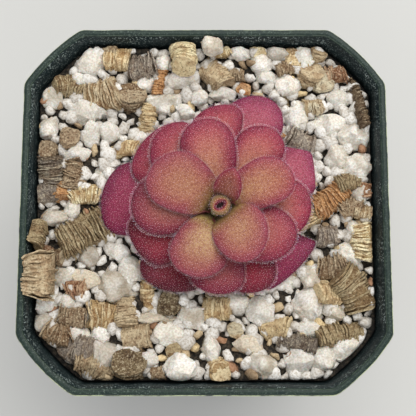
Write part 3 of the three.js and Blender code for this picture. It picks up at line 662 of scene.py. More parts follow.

# %% [markdown]
# ## Where the grains of the mix lie
#
# The coarse grains that show are listed one by one: perlite lumps, and flakes of vermiculite, which are
# stacks of thin mica leaves that puffed up like an accordion. Each row gives a grain's tint, its place,
# how long and wide it is, how far its length is turned, and how high it is heaped, if it is. Smaller
# grains then drop wherever one still fits, by a rule with a fixed seed, in the same order as in the
# solid model.

# %% The coarse grains: tint, x, y, length, width, turn in degrees, and heap
LUMP_TINTS = ("white", "grey", "cream")  # these are perlite, and all others are vermiculite
CHUNKS = [
    # back left
    ("olive", -31.5, 28.5, 6, 4.5, 12), ("white", -26, 33.5, 7, 5.5, 0), ("gold", -19, 33, 5, 4.5, 0),
    ("tan", -21, 35, 3.5, 2.5, 0), ("tan", -22, 25, 7, 6.5, 0), ("brown", -16, 24.5, 5, 5, 0),
    ("gold", -12.5, 20, 5.5, 3, 90), ("ash", -13, 31, 5, 4.5, 0), ("orange", -9.5, 28.5, 6, 2, 90),
    ("white", -8.5, 23.5, 8, 5.5, 0), ("straw", -4.5, 32.5, 5.5, 4.5, 90, 3),
    ("white", -4.5, 28.5, 7, 3.5, 0), ("white", -26, 21.5, 8.5, 5, 0), ("white", -34, 18, 4.5, 4.5, 0),
    ("brown", -34.5, 13.5, 3.5, 3.5, 0), ("brown", -29, 15.5, 3.5, 3.5, 0), ("white", -20.5, 17, 5, 5, 0),
    ("white", -24.5, 16.5, 5.5, 3.5, 90), ("white", -27.5, 12, 5.5, 3.5, 0),
    # left
    ("char", -34, 8.5, 6.5, 5, 90), ("char", -34, 3.5, 4, 3.5, 0), ("orange", -30.5, 4.5, 4, 3.5, 90),
    ("brown", -28, 7.5, 5, 4, 90), ("straw", -26, 3.5, 5.5, 3.5, 0), ("white", -22, 8.5, 8.5, 6.5, 65),
    ("gold", -16.5, 13.5, 5.5, 3, 0), ("olive", -26, -5, 9.5, 7, 28),
    ("olive", -35, -5.5, 4.5, 4, 90, 2.5), ("grey", -32, -1.5, 6, 3.5, 0),
    ("tan", -34, -14, 7.5, 6, 90, 4.5), ("brown", -31, -10, 3.5, 3, 0), ("rust", -34, -8.5, 3, 2, 0),
    ("grey", -24.5, -9.5, 5.5, 4, 90), ("white", -15.5, -12.5, 5.5, 5.5, 0), ("grey", -19, -16, 8, 7, 0),
    ("white", -30, -14, 4, 4, 0), ("cream", -25, -14.5, 6, 3.5, 0), ("rust", -27, -16.5, 4, 3.5, 0),
    # front left
    ("gold", -21, -22, 6, 5, 0), ("tan", -16.5, -21.5, 5.5, 4, 90), ("cream", -9.5, -22.5, 10, 2, 0),
    ("dark", -7.5, -19.5, 4, 4, 0), ("gold", -12, -17.5, 5, 2.5, 90), ("white", -26.5, -26, 5.5, 4, 0),
    ("brown", -32, -27.5, 5.5, 4.5, 0), ("ash", -27, -30.5, 7, 5.5, 0), ("tan", -24.5, -34.5, 7.5, 4, 160),
    ("grey", -21, -30.5, 7, 6, 90), ("dark", -15.5, -32.5, 5.5, 5.5, 0), ("tan", -14, -26.5, 5, 4.5, 0),
    ("white", -7, -26, 6, 5.5, 0), ("white", -5, -34, 6.5, 6, 0, 1.5), ("brown", -9.5, -34, 3, 2.5, 0),
    ("olive", -6, -29.5, 3, 3, 0), ("white", -16, -29.5, 4, 3, 0), ("grey", -33.5, -23.5, 3.5, 3.5, 0),
    ("brown", -27.5, -22.5, 5, 4, 0),
    # back
    ("white", 1.5, 35, 5, 4.5, 0, 3), ("straw", 4, 35.5, 3, 2.5, 0), ("white", 8, 35, 4.5, 3.5, 0),
    ("straw", 12, 35.5, 2.5, 2.5, 0), ("grey", 16, 34.5, 4.5, 3.5, 0), ("tan", 18.5, 34, 3, 2.5, 0),
    ("gold", 20, 32.5, 4, 2.5, 0), ("white", 22, 34, 5.5, 4, 90), ("tan", 25, 34.5, 3, 3, 0),
    ("rust", 30.5, 31.5, 4, 3.5, 0), ("tan", 22.5, 29.5, 4.5, 4.5, 0), ("brown", 17.5, 31, 4, 2.5, 0),
    ("white", 12, 32, 5, 4.5, 90), ("white", 13, 29, 4, 3, 0), ("white", 18, 27, 6, 5, 0),
    ("pale", 25.5, 28, 4, 4, 0), ("brown", 7, 29.5, 3, 2.5, 0), ("orange", 8.5, 26.5, 2.5, 2.5, 0),
    ("white", 4, 25.5, 5.5, 3, 0),
    # back right
    ("olive", 17, 23.5, 4, 3, 90), ("white", 20, 20.5, 6.5, 5, 90), ("pale", 23.5, 22.5, 4, 3, 0),
    ("white", 27, 18.5, 6.5, 5.5, 0), ("bark", 34.5, 24, 10.5, 2, 90), ("white", 32.5, 16, 7, 6.5, 0),
    ("white", 33.5, 9.5, 6.5, 5.5, 0), ("white", 28.5, 11, 6.5, 5, 90),
    # right
    ("orange", 26.5, 2, 7, 5, 25), ("rust", 35, 4, 3, 2.5, 90), ("grey", 33, 3.5, 5, 3.5, 90),
    ("tan", 34.5, -0.5, 3.5, 3, 0), ("brown", 31, 0.5, 4, 3.5, 0), ("straw", 34, -7, 7, 4, 90),
    ("white", 30, -9.5, 5.5, 5, 0), ("ash", 26, -5.5, 4, 3.5, 0), ("white", 31.5, -4, 4, 3, 90),
    ("brown", 27, -12, 5.5, 5, 0),
    # front right
    ("olive", 32.5, -17.5, 8.5, 6.5, 112), ("gold", 26, -17.5, 5, 4, 0), ("white", 22, -20, 7, 7, 0),
    ("white", 27.5, -21.5, 4, 3.5, 0), ("olive", 28, -26, 8.5, 3.5, 0), ("char", 19.5, -28, 7.5, 3, 0),
    ("white", 30, -30, 7, 5, 0), ("white", 24.5, -31, 6, 5, 0), ("white", 19.5, -31.5, 6, 5.5, 0),
    ("white", 22, -25, 5, 3.5, 0),
    # front
    ("gold", 15, -24.5, 5, 3.5, 0), ("gold", 3, -20.5, 5, 4.5, 0), ("white", 11.5, -21, 6, 6, 0),
    ("cream", 9, -28, 6, 4, 0), ("gold", 3, -33.5, 4, 4, 0), ("white", 1.5, -29, 6, 3.5, 90),
    ("pale", 6.5, -25, 3, 3, 0),
]

# %% The rule for the rest
GRAIN_FILL_RADII = (2.8, 2.3, 1.9)
GRAIN_FILL_TRIES = 500
GRAIN_SPREAD = 0.12
GRAIN_LONG, GRAIN_WIDE = 2.2, 1.8  # plan widths, over the radius
GRAIN_FLATNESS = 0.85
GRAIN_PACKING = 0.86
GRAIN_MARGIN = 0.7  # of its radius that a dropped grain keeps between its middle and the wall
GRAIN_TURN = 14  # degrees that a listed grain may stray from its row
GRAIN_TILT = 24
GRAIN_STAND, GRAIN_STAND_GAIN, GRAIN_STAND_MOST = 2.2, 0.25, 1.5
HEAP_LEAN = 20  # degrees that a heaped grain leans outwards over the lip
LUMP_SHARE = 0.72
BARE_RADIUS = 12
SHELTER_GAP = 0.65
ROOF_SPOKES = 8
BED_HEIGHT = 61.8
BED_SLOPE = 0.02
BED_DISH, BED_DISH_POWER = 3.0, 3
BED_INSET = 2.8
FILL_TINTS = ("gold", "tan", "brown", "olive", "pale", "orange", "ash", "rust")


def bed_height(x, y):
    """The bed is level round the plant, and rises towards the walls."""
    out = max(abs(x), abs(y)) / (RIM_WIDTH / 2)
    return BED_HEIGHT + BED_SLOPE * y + BED_DISH * out**BED_DISH_POWER


def inside_bed(x, y, margin):
    inset = BED_INSET + margin
    half = RIM_WIDTH / 2 - inset
    return abs(x) < half and abs(y) < half and abs(x) + abs(y) < 2 * half - corner_cut(inset)


def leaf_roof(places):
    """The lowest underside of a leaf over each place, or infinity in the open."""
    roof = np.full(len(places), np.inf)
    for leaf in LEAVES:
        along, across = leaf.spot(places)
        clipped = np.clip(along, 0, 1)
        under = ROSETTE.z + leaf.level + leaf.middle(clipped, across)[:, 2] - leaf.thickness(clipped, across)
        covered = (along >= 0) & (along <= 1) & (abs(across) <= 1)
        roof = np.where(covered, np.minimum(roof, under), roof)
    return roof


@dataclass
class Grain:
    """One grain: long and wide are its plan widths, and heap is how far it is raised on others."""

    tint: str
    x: float
    y: float
    long: float
    wide: float
    turn: float  # radians
    tilt: tuple
    radius: float
    heap: float = 0.0

    @property
    def half_height(self):
        return GRAIN_FLATNESS * (self.long + self.wide) / 4 + self.heap / 2

    @property
    def top(self):
        """How high it reaches: it stands out of the bed, and stays under any leaf."""
        stand = min(GRAIN_STAND + GRAIN_STAND_GAIN * self.radius, GRAIN_STAND_MOST * self.radius)
        ring = circle(GRAIN_FLATNESS * self.radius, ROOF_SPOKES, self.x, self.y)
        return min(bed_height(self.x, self.y) + stand + self.heap, leaf_roof(ring).min() - SHELTER_GAP)

    @property
    def turned(self):
        """Its turn and tilt. A heaped grain leans outwards as well."""
        lean = math.radians(HEAP_LEAN) if self.heap else 0.0
        over_x = abs(self.x) > abs(self.y)
        outwards = (0, math.copysign(lean, self.x), 0) if over_x else (-math.copysign(lean, self.y), 0, 0)
        return Euler(outwards).to_matrix() @ Euler((*self.tilt, self.turn)).to_matrix()


def place_grains():
    draw, choice = seeded_random(7), seeded_random(3)

    def stray(most):
        return math.radians(most * (2 * draw() - 1))

    made = []
    for tint, x, y, long, wide, turn, *heap in CHUNKS:
        turned = math.radians(turn) + stray(GRAIN_TURN)
        tilt = (stray(GRAIN_TILT), stray(GRAIN_TILT))
        made.append(Grain(tint, x, y, long, wide, turned, tilt, (long + wide) / 4, sum(heap)))
    for size in GRAIN_FILL_RADII:
        for _ in range(GRAIN_FILL_TRIES):
            x, y = (draw() - 0.5) * RIM_WIDTH, (draw() - 0.5) * RIM_WIDTH
            radius = size * (1 + GRAIN_SPREAD * (2 * draw() - 1))
            is_lump = draw() < LUMP_SHARE
            turn = draw() * math.pi
            tilt = (stray(GRAIN_TILT), stray(GRAIN_TILT))
            fits = all(math.hypot(g.x - x, g.y - y) > GRAIN_PACKING * (g.radius + radius) for g in made)
            if fits and inside_bed(x, y, radius * GRAIN_MARGIN):
                tint = "white" if is_lump else FILL_TINTS[int(choice() * len(FILL_TINTS))]
                made.append(Grain(tint, x, y, GRAIN_LONG * radius, GRAIN_WIDE * radius, turn, tilt, radius))
    return [g for g in made if math.hypot(g.x - ROSETTE.x, g.y - ROSETTE.y) > BARE_RADIUS]


GRAINS = place_grains()
LUMPS = [grain for grain in GRAINS if grain.tint in LUMP_TINTS]
FLAKES = [grain for grain in GRAINS if grain.tint not in LUMP_TINTS]
print(len(LUMPS), "lumps and", len(FLAKES), "flakes")

# %% [markdown]
# ## The bed
#
# Below the grains that show lies the rest of the mix. From above only its dark gaps are seen, so it is
# one solid that fills the pot, with a rough dished top and a plain hole for the plant's stem and roots.

# %% Build the bed
ROOT_HOLE_RADIUS, ROOT_HOLE_DEPTH = 3.4, 13
BED_ROUGHNESS, BED_BUMPS_PER_MM = 0.7, 0.7
BED_RINGS = 22


def bed_inset(height):
    """How far inside the lip's outline the bed stays, so that it clears the wall."""
    corners = (UNDER_LIP, ABOVE_STEP) if height > STEP_HEIGHT else (BELOW_STEP, ABOVE_FLOOR)
    (high_inset, high), (low_inset, low) = corners
    return low_inset + (high_inset - low_inset) * (height - low) / (high - low) + CLEARANCE


def bed_top(shrink, rise=0.0):
    """A ring of the bed's uneven top. shrink is its share of the way out to the wall."""
    ring = []
    for x, y, _ in outline(bed_inset(BED_HEIGHT), 0):
        x, y = x * shrink, y * shrink
        rough = BED_ROUGHNESS * noise.noise(Vector((x, y, 0)) * BED_BUMPS_PER_MM)
        ring.append((x, y, bed_height(x, y) + rough + rise))
    return ring


levels = [FLOOR + RIDGE_RISE + CLEARANCE, STEP_HEIGHT, STEP_HEIGHT + STEP_RISE + CLEARANCE]
rings = [outline(bed_inset(level), level) for level in levels]
rings += [bed_top(1 - k / BED_RINGS) for k in range(BED_RINGS)]
bed = mesh_piece("bed_of_mix", *loft(rings))
hole_low, hole_high = ROSETTE.z - ROOT_HOLE_DEPTH, ROSETTE.z
carve(bed, post(ROOT_HOLE_RADIUS, hole_low, hole_high, ROSETTE.x, ROSETTE.y), "DIFFERENCE")

# The bed's dark brown is partly the mix's own colour and partly painted shade, for the gaps between the
# grains.
soil = Finish("dark gaps of the mix", Roughness=0.95)
grit = soil.per_mm(1.5, detail=5.0)
soil.paint(Base_Color=blend(ramp(grit, 0.4, 0.7), rgb(34, 31, 27), rgb(88, 78, 64)))
soil.relief(grit, 0.5)
bed.data.materials.append(soil.material)
settle(bed, "growing_mix", "growing_mix")

# %% [markdown]
# ## Steps that all grains share
#
# A grain that lies at the wall or under a leaf has no room of its own there. So once a kind of grain is
# made, each grain that reaches into the wall moves inwards as a whole, and what still reaches too far
# is pressed together. Nothing may rise above the underside of the leaf over it.

# %% Where the mix has to stay
PRESSED = (  # height, and inset from the lip's outline
    (STEP_HEIGHT + STEP_RISE, 2.6), (POT_HEIGHT - 0.8, 2.15), (POT_HEIGHT + 0.6, 0.4))
PRESS_ZONE = 0.035  # the share of the way out over which the grains crowd together at the wall
MOVED_SHARE = 0.75  # how much of a grain's way back from the wall it moves as a whole
LEANS_FROM = POT_HEIGHT - 3  # a grain heaped so high isn't moved, but leans over the lip
UNDER_GAP = 0.12


def read(piece, name):
    """The vectors that a mesh's vertices carry."""
    values = np.empty(len(piece.data.vertices) * 3, np.float32)
    piece.data.attributes[name].data.foreach_get("vector", values)
    return values.reshape(-1, 3)


def pressed(piece):
    """The piece, kept inside the wall and below the leaves."""
    places = read(piece, "position") / MM
    inset = np.interp(places[:, 2], *zip(*PRESSED))
    half, across = RIM_WIDTH / 2 - inset, abs(places[:, :2])
    out = np.maximum(across.max(1) / half, across.sum(1) / (2 * half - corner_cut(inset)))
    centres = read(piece, "centre")
    grain = np.unique(centres.round(6), axis=0, return_inverse=True)[1].ravel()
    furthest = np.ones(grain.max() + 1)
    np.maximum.at(furthest, grain, out)
    lying = centres[:, 2] < LEANS_FROM * MM
    moved = 1 / (1 + MOVED_SHARE * lying * (furthest[grain] - 1))
    over = np.maximum(out * moved - 1 + PRESS_ZONE, 0) / PRESS_ZONE
    kept = out * moved - PRESS_ZONE * (over - 1 + np.exp(-over))
    places[:, :2] *= (kept / np.maximum(out, 1e-6))[:, None]
    places[:, 2] = np.minimum(places[:, 2], leaf_roof(places) - UNDER_GAP)
    piece.data.vertices.foreach_set("co", (places * MM).ravel())
    piece.data.update()
    return piece


# %% Grain tints
TINTS = {
    "white": rgb(229, 227, 221), "grey": rgb(197, 192, 183), "cream": rgb(214, 204, 186),
    "ash": rgb(152, 140, 127), "char": rgb(126, 115, 103), "straw": rgb(234, 220, 178),
    "pale": rgb(208, 196, 166), "gold": rgb(220, 198, 154), "tan": rgb(192, 172, 138),
    "orange": rgb(198, 146, 94), "rust": rgb(168, 128, 98), "brown": rgb(156, 134, 106),
    "olive": rgb(156, 137, 102), "bark": rgb(106, 86, 62), "dark": rgb(110, 92, 64),
}
GRAIN_PLUMP = 1.14  # the grains are drawn this much larger than their rows, to lie against each other
FACE_UP_RATIO = 1.0  # a flake no longer than this times its width lies with its leaves face up


def grain_points(name, grains):
    """One point for each grain, which carries its sizes, its turn, its tint and a number of its own."""
    places, halves, turns = [], [], []
    for g in grains:
        high, turned = g.half_height - g.heap / 2, g.turned
        sizes = (g.long / 2, g.wide / 2, high)
        if g.tint not in LUMP_TINTS and g.long <= FACE_UP_RATIO * g.wide:
            turned = turned @ Euler((0, math.pi / 2, 0)).to_matrix()
            sizes = (high, g.wide / 2, g.long / 2)
        places.append((g.x, g.y, g.top - high))
        halves.append(sizes)
        turns.append(turned.to_euler())
    points = mesh_piece(name, places, [])
    store(points, "halves", np.array(halves) * MM * GRAIN_PLUMP)
    store(points, "turned", turns)
    store(points, "grain", [g.radius * MM for g in grains])
    tones = seeded_random(5)
    shades = [0.9 + 0.2 * tones() for _ in grains]
    tints = [(*(level * shade for level in TINTS[g.tint][:3]), 1) for g, shade in zip(grains, shades)]
    store(points, "tint", tints)
    store(points, "character", [tones() for _ in grains])
    return points


# %% Geometry Nodes helpers
SOCKETS = {"geometry": "NodeSocketGeometry", "number": "NodeSocketFloat", "whole": "NodeSocketInt",
           "material": "NodeSocketMaterial"}


def new_tree(name, **inputs):
    """Opens a node tree with named inputs, and returns the inputs."""
    tree = bpy.data.node_groups.new(name, "GeometryNodeTree")
    OPENED.append(tree)
    for title, kind in {"source": "geometry", **inputs}.items():
        tree.interface.new_socket(title, in_out="INPUT", socket_type=SOCKETS[kind])
    tree.interface.new_socket("result", in_out="OUTPUT", socket_type=SOCKETS["geometry"])
    given = tree.nodes.new("NodeGroupInput")
    return {socket.name: Wire(socket) for socket in given.outputs if socket.name}


def end_tree(geometry, material):
    """Real geometry with its material, which is how every tree here ends. Returns the tree."""
    dressed = add("GeometryNodeSetMaterial", {"Geometry": realize(geometry), "Material": material})
    fill(OPENED[-1].nodes.new("NodeGroupOutput").inputs[0], dressed)
    return OPENED[-1]


def grow(name, source, tree, **inputs):
    """Runs a tree on a source object and keeps the result as a plain mesh. The source is removed."""
    modifier = source.modifiers.new("grow", "NODES")
    modifier.node_group = tree
    for item in tree.interface.items_tree:
        if item.in_out == "INPUT" and item.name in inputs:
            modifier[item.identifier] = inputs[item.name]
    mesh = baked(source)
    bpy.data.objects.remove(source)
    mesh.name = name
    return placed(name, mesh)


def named(name):
    """Reads a number that the mesh carries."""
    return add("GeometryNodeInputNamedAttribute", {"Name": name}, data_type="FLOAT")


def named_vector(name):
    return add("GeometryNodeInputNamedAttribute", {"Name": name}, data_type="FLOAT_VECTOR")


def keep(geometry, name, value):
    """Writes a number or a vector on to the mesh."""
    kind = "FLOAT_VECTOR" if isinstance(value, Wire) and value.socket.type == "VECTOR" else "FLOAT"
    fields = {"Geometry": geometry, "Name": name, "Value": value}
    return add("GeometryNodeStoreNamedAttribute", fields, data_type=kind)


def position():
    return add("GeometryNodeInputPosition")


def realize(geometry):
    """Copies, turned into geometry of their own."""
    return add("GeometryNodeRealizeInstances", {"Geometry": geometry})


def smooth(geometry):
    return add("GeometryNodeSetShadeSmooth", {"Geometry": geometry})


def join(*parts):
    """Several geometries as one."""
    node = OPENED[-1].nodes.new("GeometryNodeJoinGeometry")
    for part in parts:
        fill(node.inputs[0], part)
    return Wire(node.outputs[0])


def move(geometry, offset):
    return add("GeometryNodeSetPosition", {"Geometry": geometry, "Offset": offset})


def shake(geometry, features, size, detail=1.0):
    """Pushes a surface out of shape by a noise, so many features to the millimetre."""
    fields = {"Vector": position(), "Scale": features / MM, "Detail": detail}
    drift = add("ShaderNodeTexNoise", fields, out="Color")
    return move(geometry, vector("SCALE", vector("SUBTRACT", drift, (0.5,) * 3), size))


def chance(low, high, seed):
    """A random number for each point. Every call has a seed of its own."""
    return add("FunctionNodeRandomValue", {0: low, 1: high, "Seed": seed}, data_type="FLOAT")


def turn_by(euler):
    return add("FunctionNodeEulerToRotation", {"Euler": euler})


def turned_by(rotation, euler):
    """A rotation, with a small one of its own after it."""
    fields = {"Rotation": rotation, "Rotate By": turn_by(euler)}
    return add("FunctionNodeRotateRotation", fields, rotation_space="LOCAL")


def scatter(mesh, gap, densest, where, seed):
    """Points on a surface, with a least distance between them."""
    fields = {"Mesh": mesh, "Distance Min": gap, "Density Max": densest}
    fields.update({"Density Factor": where, "Seed": seed})
    return add("GeometryNodeDistributePointsOnFaces", fields, distribute_method="POISSON")


def copies(points, shape, rotation, scale):
    """A shape on each point."""
    fields = {"Points": points, "Instance": shape, "Rotation": rotation, "Scale": scale}
    return add("GeometryNodeInstanceOnPoints", fields)


def unit_ball(fineness):
    """A ball of radius 1, whose vertices remember the way they face."""
    ball = add("GeometryNodeMeshIcoSphere", {"Radius": 1.0, "Subdivisions": fineness})
    return keep(ball, "ball", position())


# %% [markdown]
# ## Perlite
#
# Perlite is volcanic glass that was heated until it foamed and then crushed: white, light, blunt lumps.
# Some are plain cobbles with soft flat faces, and some are knobbly like popcorn. A Geometry Nodes tree
# makes all of them at once. It puts a ball on each grain's point, scales it to the grain's own sizes
# and turns it. Then it flattens the ball where a pattern of cells says so, which gives each lump its
# own blunt faces, and swells it into knobs, more on some lumps than on others.

# %% The perlite tree
FACES_PER_RADIUS = 1.05  # how many blunt faces lie side by side on a lump
FACE_DEPTH = 0.8  # how far out a flat face lies, over the ball's radius
FACE_REACH = 0.7  # how far round a face may reach, as the least cosine
FACE_SHARE = 0.7  # 0 for a plain ball and 1 for sharp edges
KNOBS_PER_MM = 0.36
KNOB_DEPTH, KNOB_MIDDLE = 0.2, 0.4  # the middle is where the surface neither swells nor sinks
PERLITE_SHAKES = ((0.24, 0.7), (0.75, 0.07))  # features to the millimetre, and size over the grain's radius


def blunt_faces(lumps):
    """Flattens each lump where the nearest of a few scattered directions points."""
    ball, centre = named_vector("ball"), named_vector("centre")
    own_place = vector("SCALE", centre, 1 / MM)
    fields = {"Vector": vector("ADD", ball, own_place), "Scale": FACES_PER_RADIUS}
    cell = add("ShaderNodeTexVoronoi", fields, out="Position")
    towards = vector("NORMALIZE", vector("SUBTRACT", cell, own_place))
    facing = vector("DOT_PRODUCT", ball, towards).other("Value")
    flat = FACE_DEPTH / calc("MAXIMUM", facing, FACE_REACH)
    size = calc("MULTIPLY_ADD", flat - 1.0, FACE_SHARE, 1.0)
    return move(lumps, vector("SCALE", vector("SUBTRACT", position(), centre), size - 1.0))


def perlite_tree():
    given = new_tree("perlite lumps", fineness="whole", finish="material")
    points = keep(given["source"], "centre", position())
    turned = turn_by(named_vector("turned"))
    lumps = blunt_faces(realize(copies(points, unit_ball(given["fineness"]), turned, named_vector("halves"))))
    grain, knobbly = named("grain"), named("character") ** 2.0
    (features, size), (fine_features, fine_size) = PERLITE_SHAKES
    lumps = shake(lumps, features, grain * size)
    cells = {"Scale": KNOBS_PER_MM / MM, "Smoothness": 0.3, "Vector": position()}
    knob = add("ShaderNodeTexVoronoi", cells, out="Distance", feature="SMOOTH_F1")
    lumps = keep(lumps, "crease", knob * knobbly)
    swell = (knobbly * KNOB_MIDDLE - named("crease")) * grain * KNOB_DEPTH
    lumps = move(lumps, vector("SCALE", add("GeometryNodeInputNormal"), swell))
    lumps = shake(lumps, fine_features, grain * fine_size, detail=2.0)
    return end_tree(smooth(lumps), given["finish"])


# %% Perlite finish
perlite = Finish("foamed perlite", Roughness=0.92, Subsurface_Weight=0.15, Subsurface_Scale=0.4 * MM)
clouds = blend(ramp(perlite.per_mm(0.3), 0.35, 0.7), rgb(246, 242, 234), rgb(255, 255, 255))
tint = tinted(perlite.stored("tint", "Color"), clouds)
# painted shade: darker in the clefts between the knobs
tint = tinted_in_places(ramp(perlite.stored("crease"), 0.22, 0.6), tint, rgb(214, 208, 199))
fine = perlite.per_mm(2.2, detail=5.0, roughness=0.65)
mottled = tinted_in_places(ramp(fine, 0.6, 0.4), tint, rgb(226, 222, 216))
# painted shade: small pits, painted grey where they sink in
pits = ramp(perlite.cells_per_mm(1.7), 0.2, 0.1)
pitted = pits * ramp(perlite.per_mm(0.35), 0.5, 0.6) * 0.5
perlite.paint(Base_Color=blend(pitted, mottled, rgb(146, 138, 126)))
perlite.relief(fine - pitted, 0.16)

# %% Lay the perlite
FINE_LUMPS = 36  # the largest ones get a finer mesh
perlite_nodes = perlite_tree()
by_size = sorted(LUMPS, key=lambda grain: -grain.radius)
for title, fineness, lumps in (("perlite_large", 5, by_size[:FINE_LUMPS]),
                               ("perlite_small", 4, by_size[FINE_LUMPS:])):
    points = grain_points(title, lumps)
    piece = grow(title, points, perlite_nodes, fineness=fineness, finish=perlite.material)
    settle(pressed(piece), "growing_mix", "growing_mix")

# %% [markdown]
# ## Vermiculite
#
# Vermiculite is mica that was heated until its water turned to steam and pushed its leaves apart. Each
# flake is a short accordion of thin leaves, gold, brown or grey, and some bend like a worm. The tree
# repeats each flake's point once for every leaf in the stack, sets these in a row along the flake's
# length, bent along an arc, and puts a thin plate on each. No two plates have the same width or lie
# quite alike, and a fine noise crumples them all. A plain core behind them closes the gaps.

# %% The vermiculite tree
MICA_PITCH = 0.38
MICA_BEND = 0.9
MICA_SHARES = (0.55, 1.1)  # of the pitch that a leaf fills, least and most
MICA_LEAST = 3.0  # leaves in a flake
MICA_SIDES = 20
MICA_BLOCKY = 3.2  # the power of a leaf's outline: 2 for a round one, and more for a square one
CORE_SHARE = 0.9
MICA_SLIP, MICA_LEAN, MICA_TWIST = (0.03, 0.22), (0.08, 0.5), (0.03, 0.24)  # in tight flakes, in loose ones
MICA_WIDTH, MICA_WIDTH_SPREAD = 0.96, (0.07, 0.2)
MICA_SHAKES = ((0.3, 1.5, 1.0), (0.9, 0.55, 2.0), (2.8, 0.4, 1.0))  # features to the millimetre, size, detail


def mica_plate():
    """One thin leaf with a rounded square outline, lying across X."""
    fields = {"Vertices": MICA_SIDES, "Side Segments": 1, "Radius": 1.0, "Depth": 1.0}
    plate = add("GeometryNodeMeshCylinder", fields, out="Mesh", fill_type="TRIANGLE_FAN")
    plate = add("GeometryNodeTransform", {"Geometry": plate, "Rotation": (0, math.radians(90), 0)})
    across = [abs(axis_of(position(), axis)) ** MICA_BLOCKY for axis in "YZ"]
    size = calc("MAXIMUM", across[0] + across[1], 1e-4) ** (1 / MICA_BLOCKY)
    outwards = vector("MULTIPLY", position(), (0, 1, 1))
    return move(plate, vector("SCALE", outwards, 1.0 / size - 1.0))


def spread(low, high, loose, seed):
    """A random number whose range grows from low to high with looseness."""
    return chance(-1.0, 1.0, seed) * calc("MULTIPLY_ADD", loose, high - low, low)


def vermiculite_tree():
    given = new_tree("vermiculite flakes", pitch="number", bend="number", finish="material")
    halves, frame_turn = named_vector("halves"), turn_by(named_vector("turned"))
    centred, swing, loose = named("centred"), named("swing"), named("loose")
    length = axis_of(halves, "X") * 2.0
    count = calc("MAXIMUM", round(length / given["pitch"]), MICA_LEAST)
    flakes = keep(given["source"], "centre", position())
    fields = {"Geometry": keep(flakes, "count", count), "Amount": count}
    row = add("GeometryNodeDuplicateElements", fields, domain="POINT")
    row = keep(row, "step", row.other("Duplicate Index"))
    row = keep(row, "centred", (named("step") + 0.5) / named("count") - 0.5)
    row = keep(row, "swing", centred * (given["bend"] * named("bent")))

    along = centred * length
    slips = [axis_of(halves, axis) * spread(*MICA_SLIP, loose, seed) for axis, seed in (("Y", 23), ("Z", 24))]
    local = combine(X=along, Y=along * swing * 0.5 + slips[0], Z=slips[1])
    row = move(row, add("FunctionNodeRotateVector", {"Vector": local, "Rotation": frame_turn}))
    leaning = combine(X=spread(*MICA_LEAN, loose, 20), Y=spread(*MICA_TWIST, loose, 21),
                      Z=swing + spread(*MICA_TWIST, loose, 22))
    wide, high = (axis_of(halves, axis) * (MICA_WIDTH + spread(*MICA_WIDTH_SPREAD, loose, seed))
                  for axis, seed in (("Y", 31), ("Z", 32)))
    thick = given["pitch"] * chance(*MICA_SHARES, 33)
    row = keep(row, "mood", chance(0.0, 1.0, 34))
    plate = mica_plate()
    leaves = copies(row, plate, turned_by(frame_turn, leaning), combine(X=thick, Y=wide, Z=high))
    core = vector("MULTIPLY", halves, (2 * CORE_SHARE, CORE_SHARE, CORE_SHARE))
    cores = copies(keep(flakes, "mood", 0.0), plate, frame_turn, core)
    warped = realize(join(leaves, cores))
    for features, size, detail in MICA_SHAKES:
        warped = shake(warped, features, size * MM, detail)
    return end_tree(warped, given["finish"])


# %% Vermiculite finish
mica = Finish("vermiculite mica", IOR=1.5, Specular_IOR_Level=0.35)
mood, tint = mica.stored("mood"), mica.stored("tint", "Color")
bright = blend(0.28, tint, rgb(226, 210, 170), "SCREEN")
dull = tinted(tint, rgb(206, 188, 166))
lined = blend(ramp(mood, 0.4, 1.0), blend(ramp(mood, 0.0, 0.25), dull, tint), bright)
leafed = blend(ramp(mica.stored("character"), 0.1, 0.8), tint, lined)
patches = ramp(mica.per_mm(0.6, detail=5.0), 0.44, 0.62) * 0.55
patchy = tinted_in_places(patches, leafed, rgb(176, 140, 104))
crumb = mica.per_mm(2.3, detail=4.0, roughness=0.75)
rough = calc("MULTIPLY_ADD", mica.stored("loose"), 0.3, 0.5)
# painted shade: dark crevices in the crumbled surface, deeper on loose flakes
crevice_shaded = tinted_in_places(ramp(crumb, 0.47, 0.36) * (rough + 0.2), patchy, rgb(84, 64, 47))
# painted highlights: pale glints of the mica
painted_glint = ramp(crumb, 0.52, 0.64) * rough
mica.paint(Base_Color=blend(painted_glint, crevice_shaded, blend(0.55, patchy, rgb(246, 234, 200))))
mica.paint(Roughness=ramp(crumb, 0.0, 1.0, soft=False, to=(0.35, 0.8)))
mica.relief(crumb, 0.4)

# %% Lay the vermiculite
LOOSENESS = {"brown": 0.6, "dark": 0.6, "rust": 0.5, "orange": 0.4, "ash": 0.6, "bark": 0.1, "char": 0.6}
LOOSENESS_OF_OTHERS = 0.2
points = grain_points("vermiculite", FLAKES)
bends = seeded_random(19)
store(points, "bent", [2 * bends() - 1 for _ in FLAKES])
looseness = [LOOSENESS.get(flake.tint, LOOSENESS_OF_OTHERS) * (0.4 + 1.2 * bends()) for flake in FLAKES]
store(points, "loose", looseness)
piece = grow("vermiculite", points, vermiculite_tree(), pitch=MICA_PITCH * MM, bend=MICA_BEND,
             finish=mica.material)
settle(pressed(piece), "growing_mix", "growing_mix")

# %% [markdown]
# ## Pebbles and crumbs
#
# Between the coarse grains lies what crumbled off them, mostly perlite again. The points are scattered
# over a sheet a little above the bed, with a least distance between them, so that the pebbles touch
# but don't pile up. Under the plant the sheet dips, so that no pebble pushes through a leaf. Each point
# gets a small rough ball whose size and colour are drawn at random.

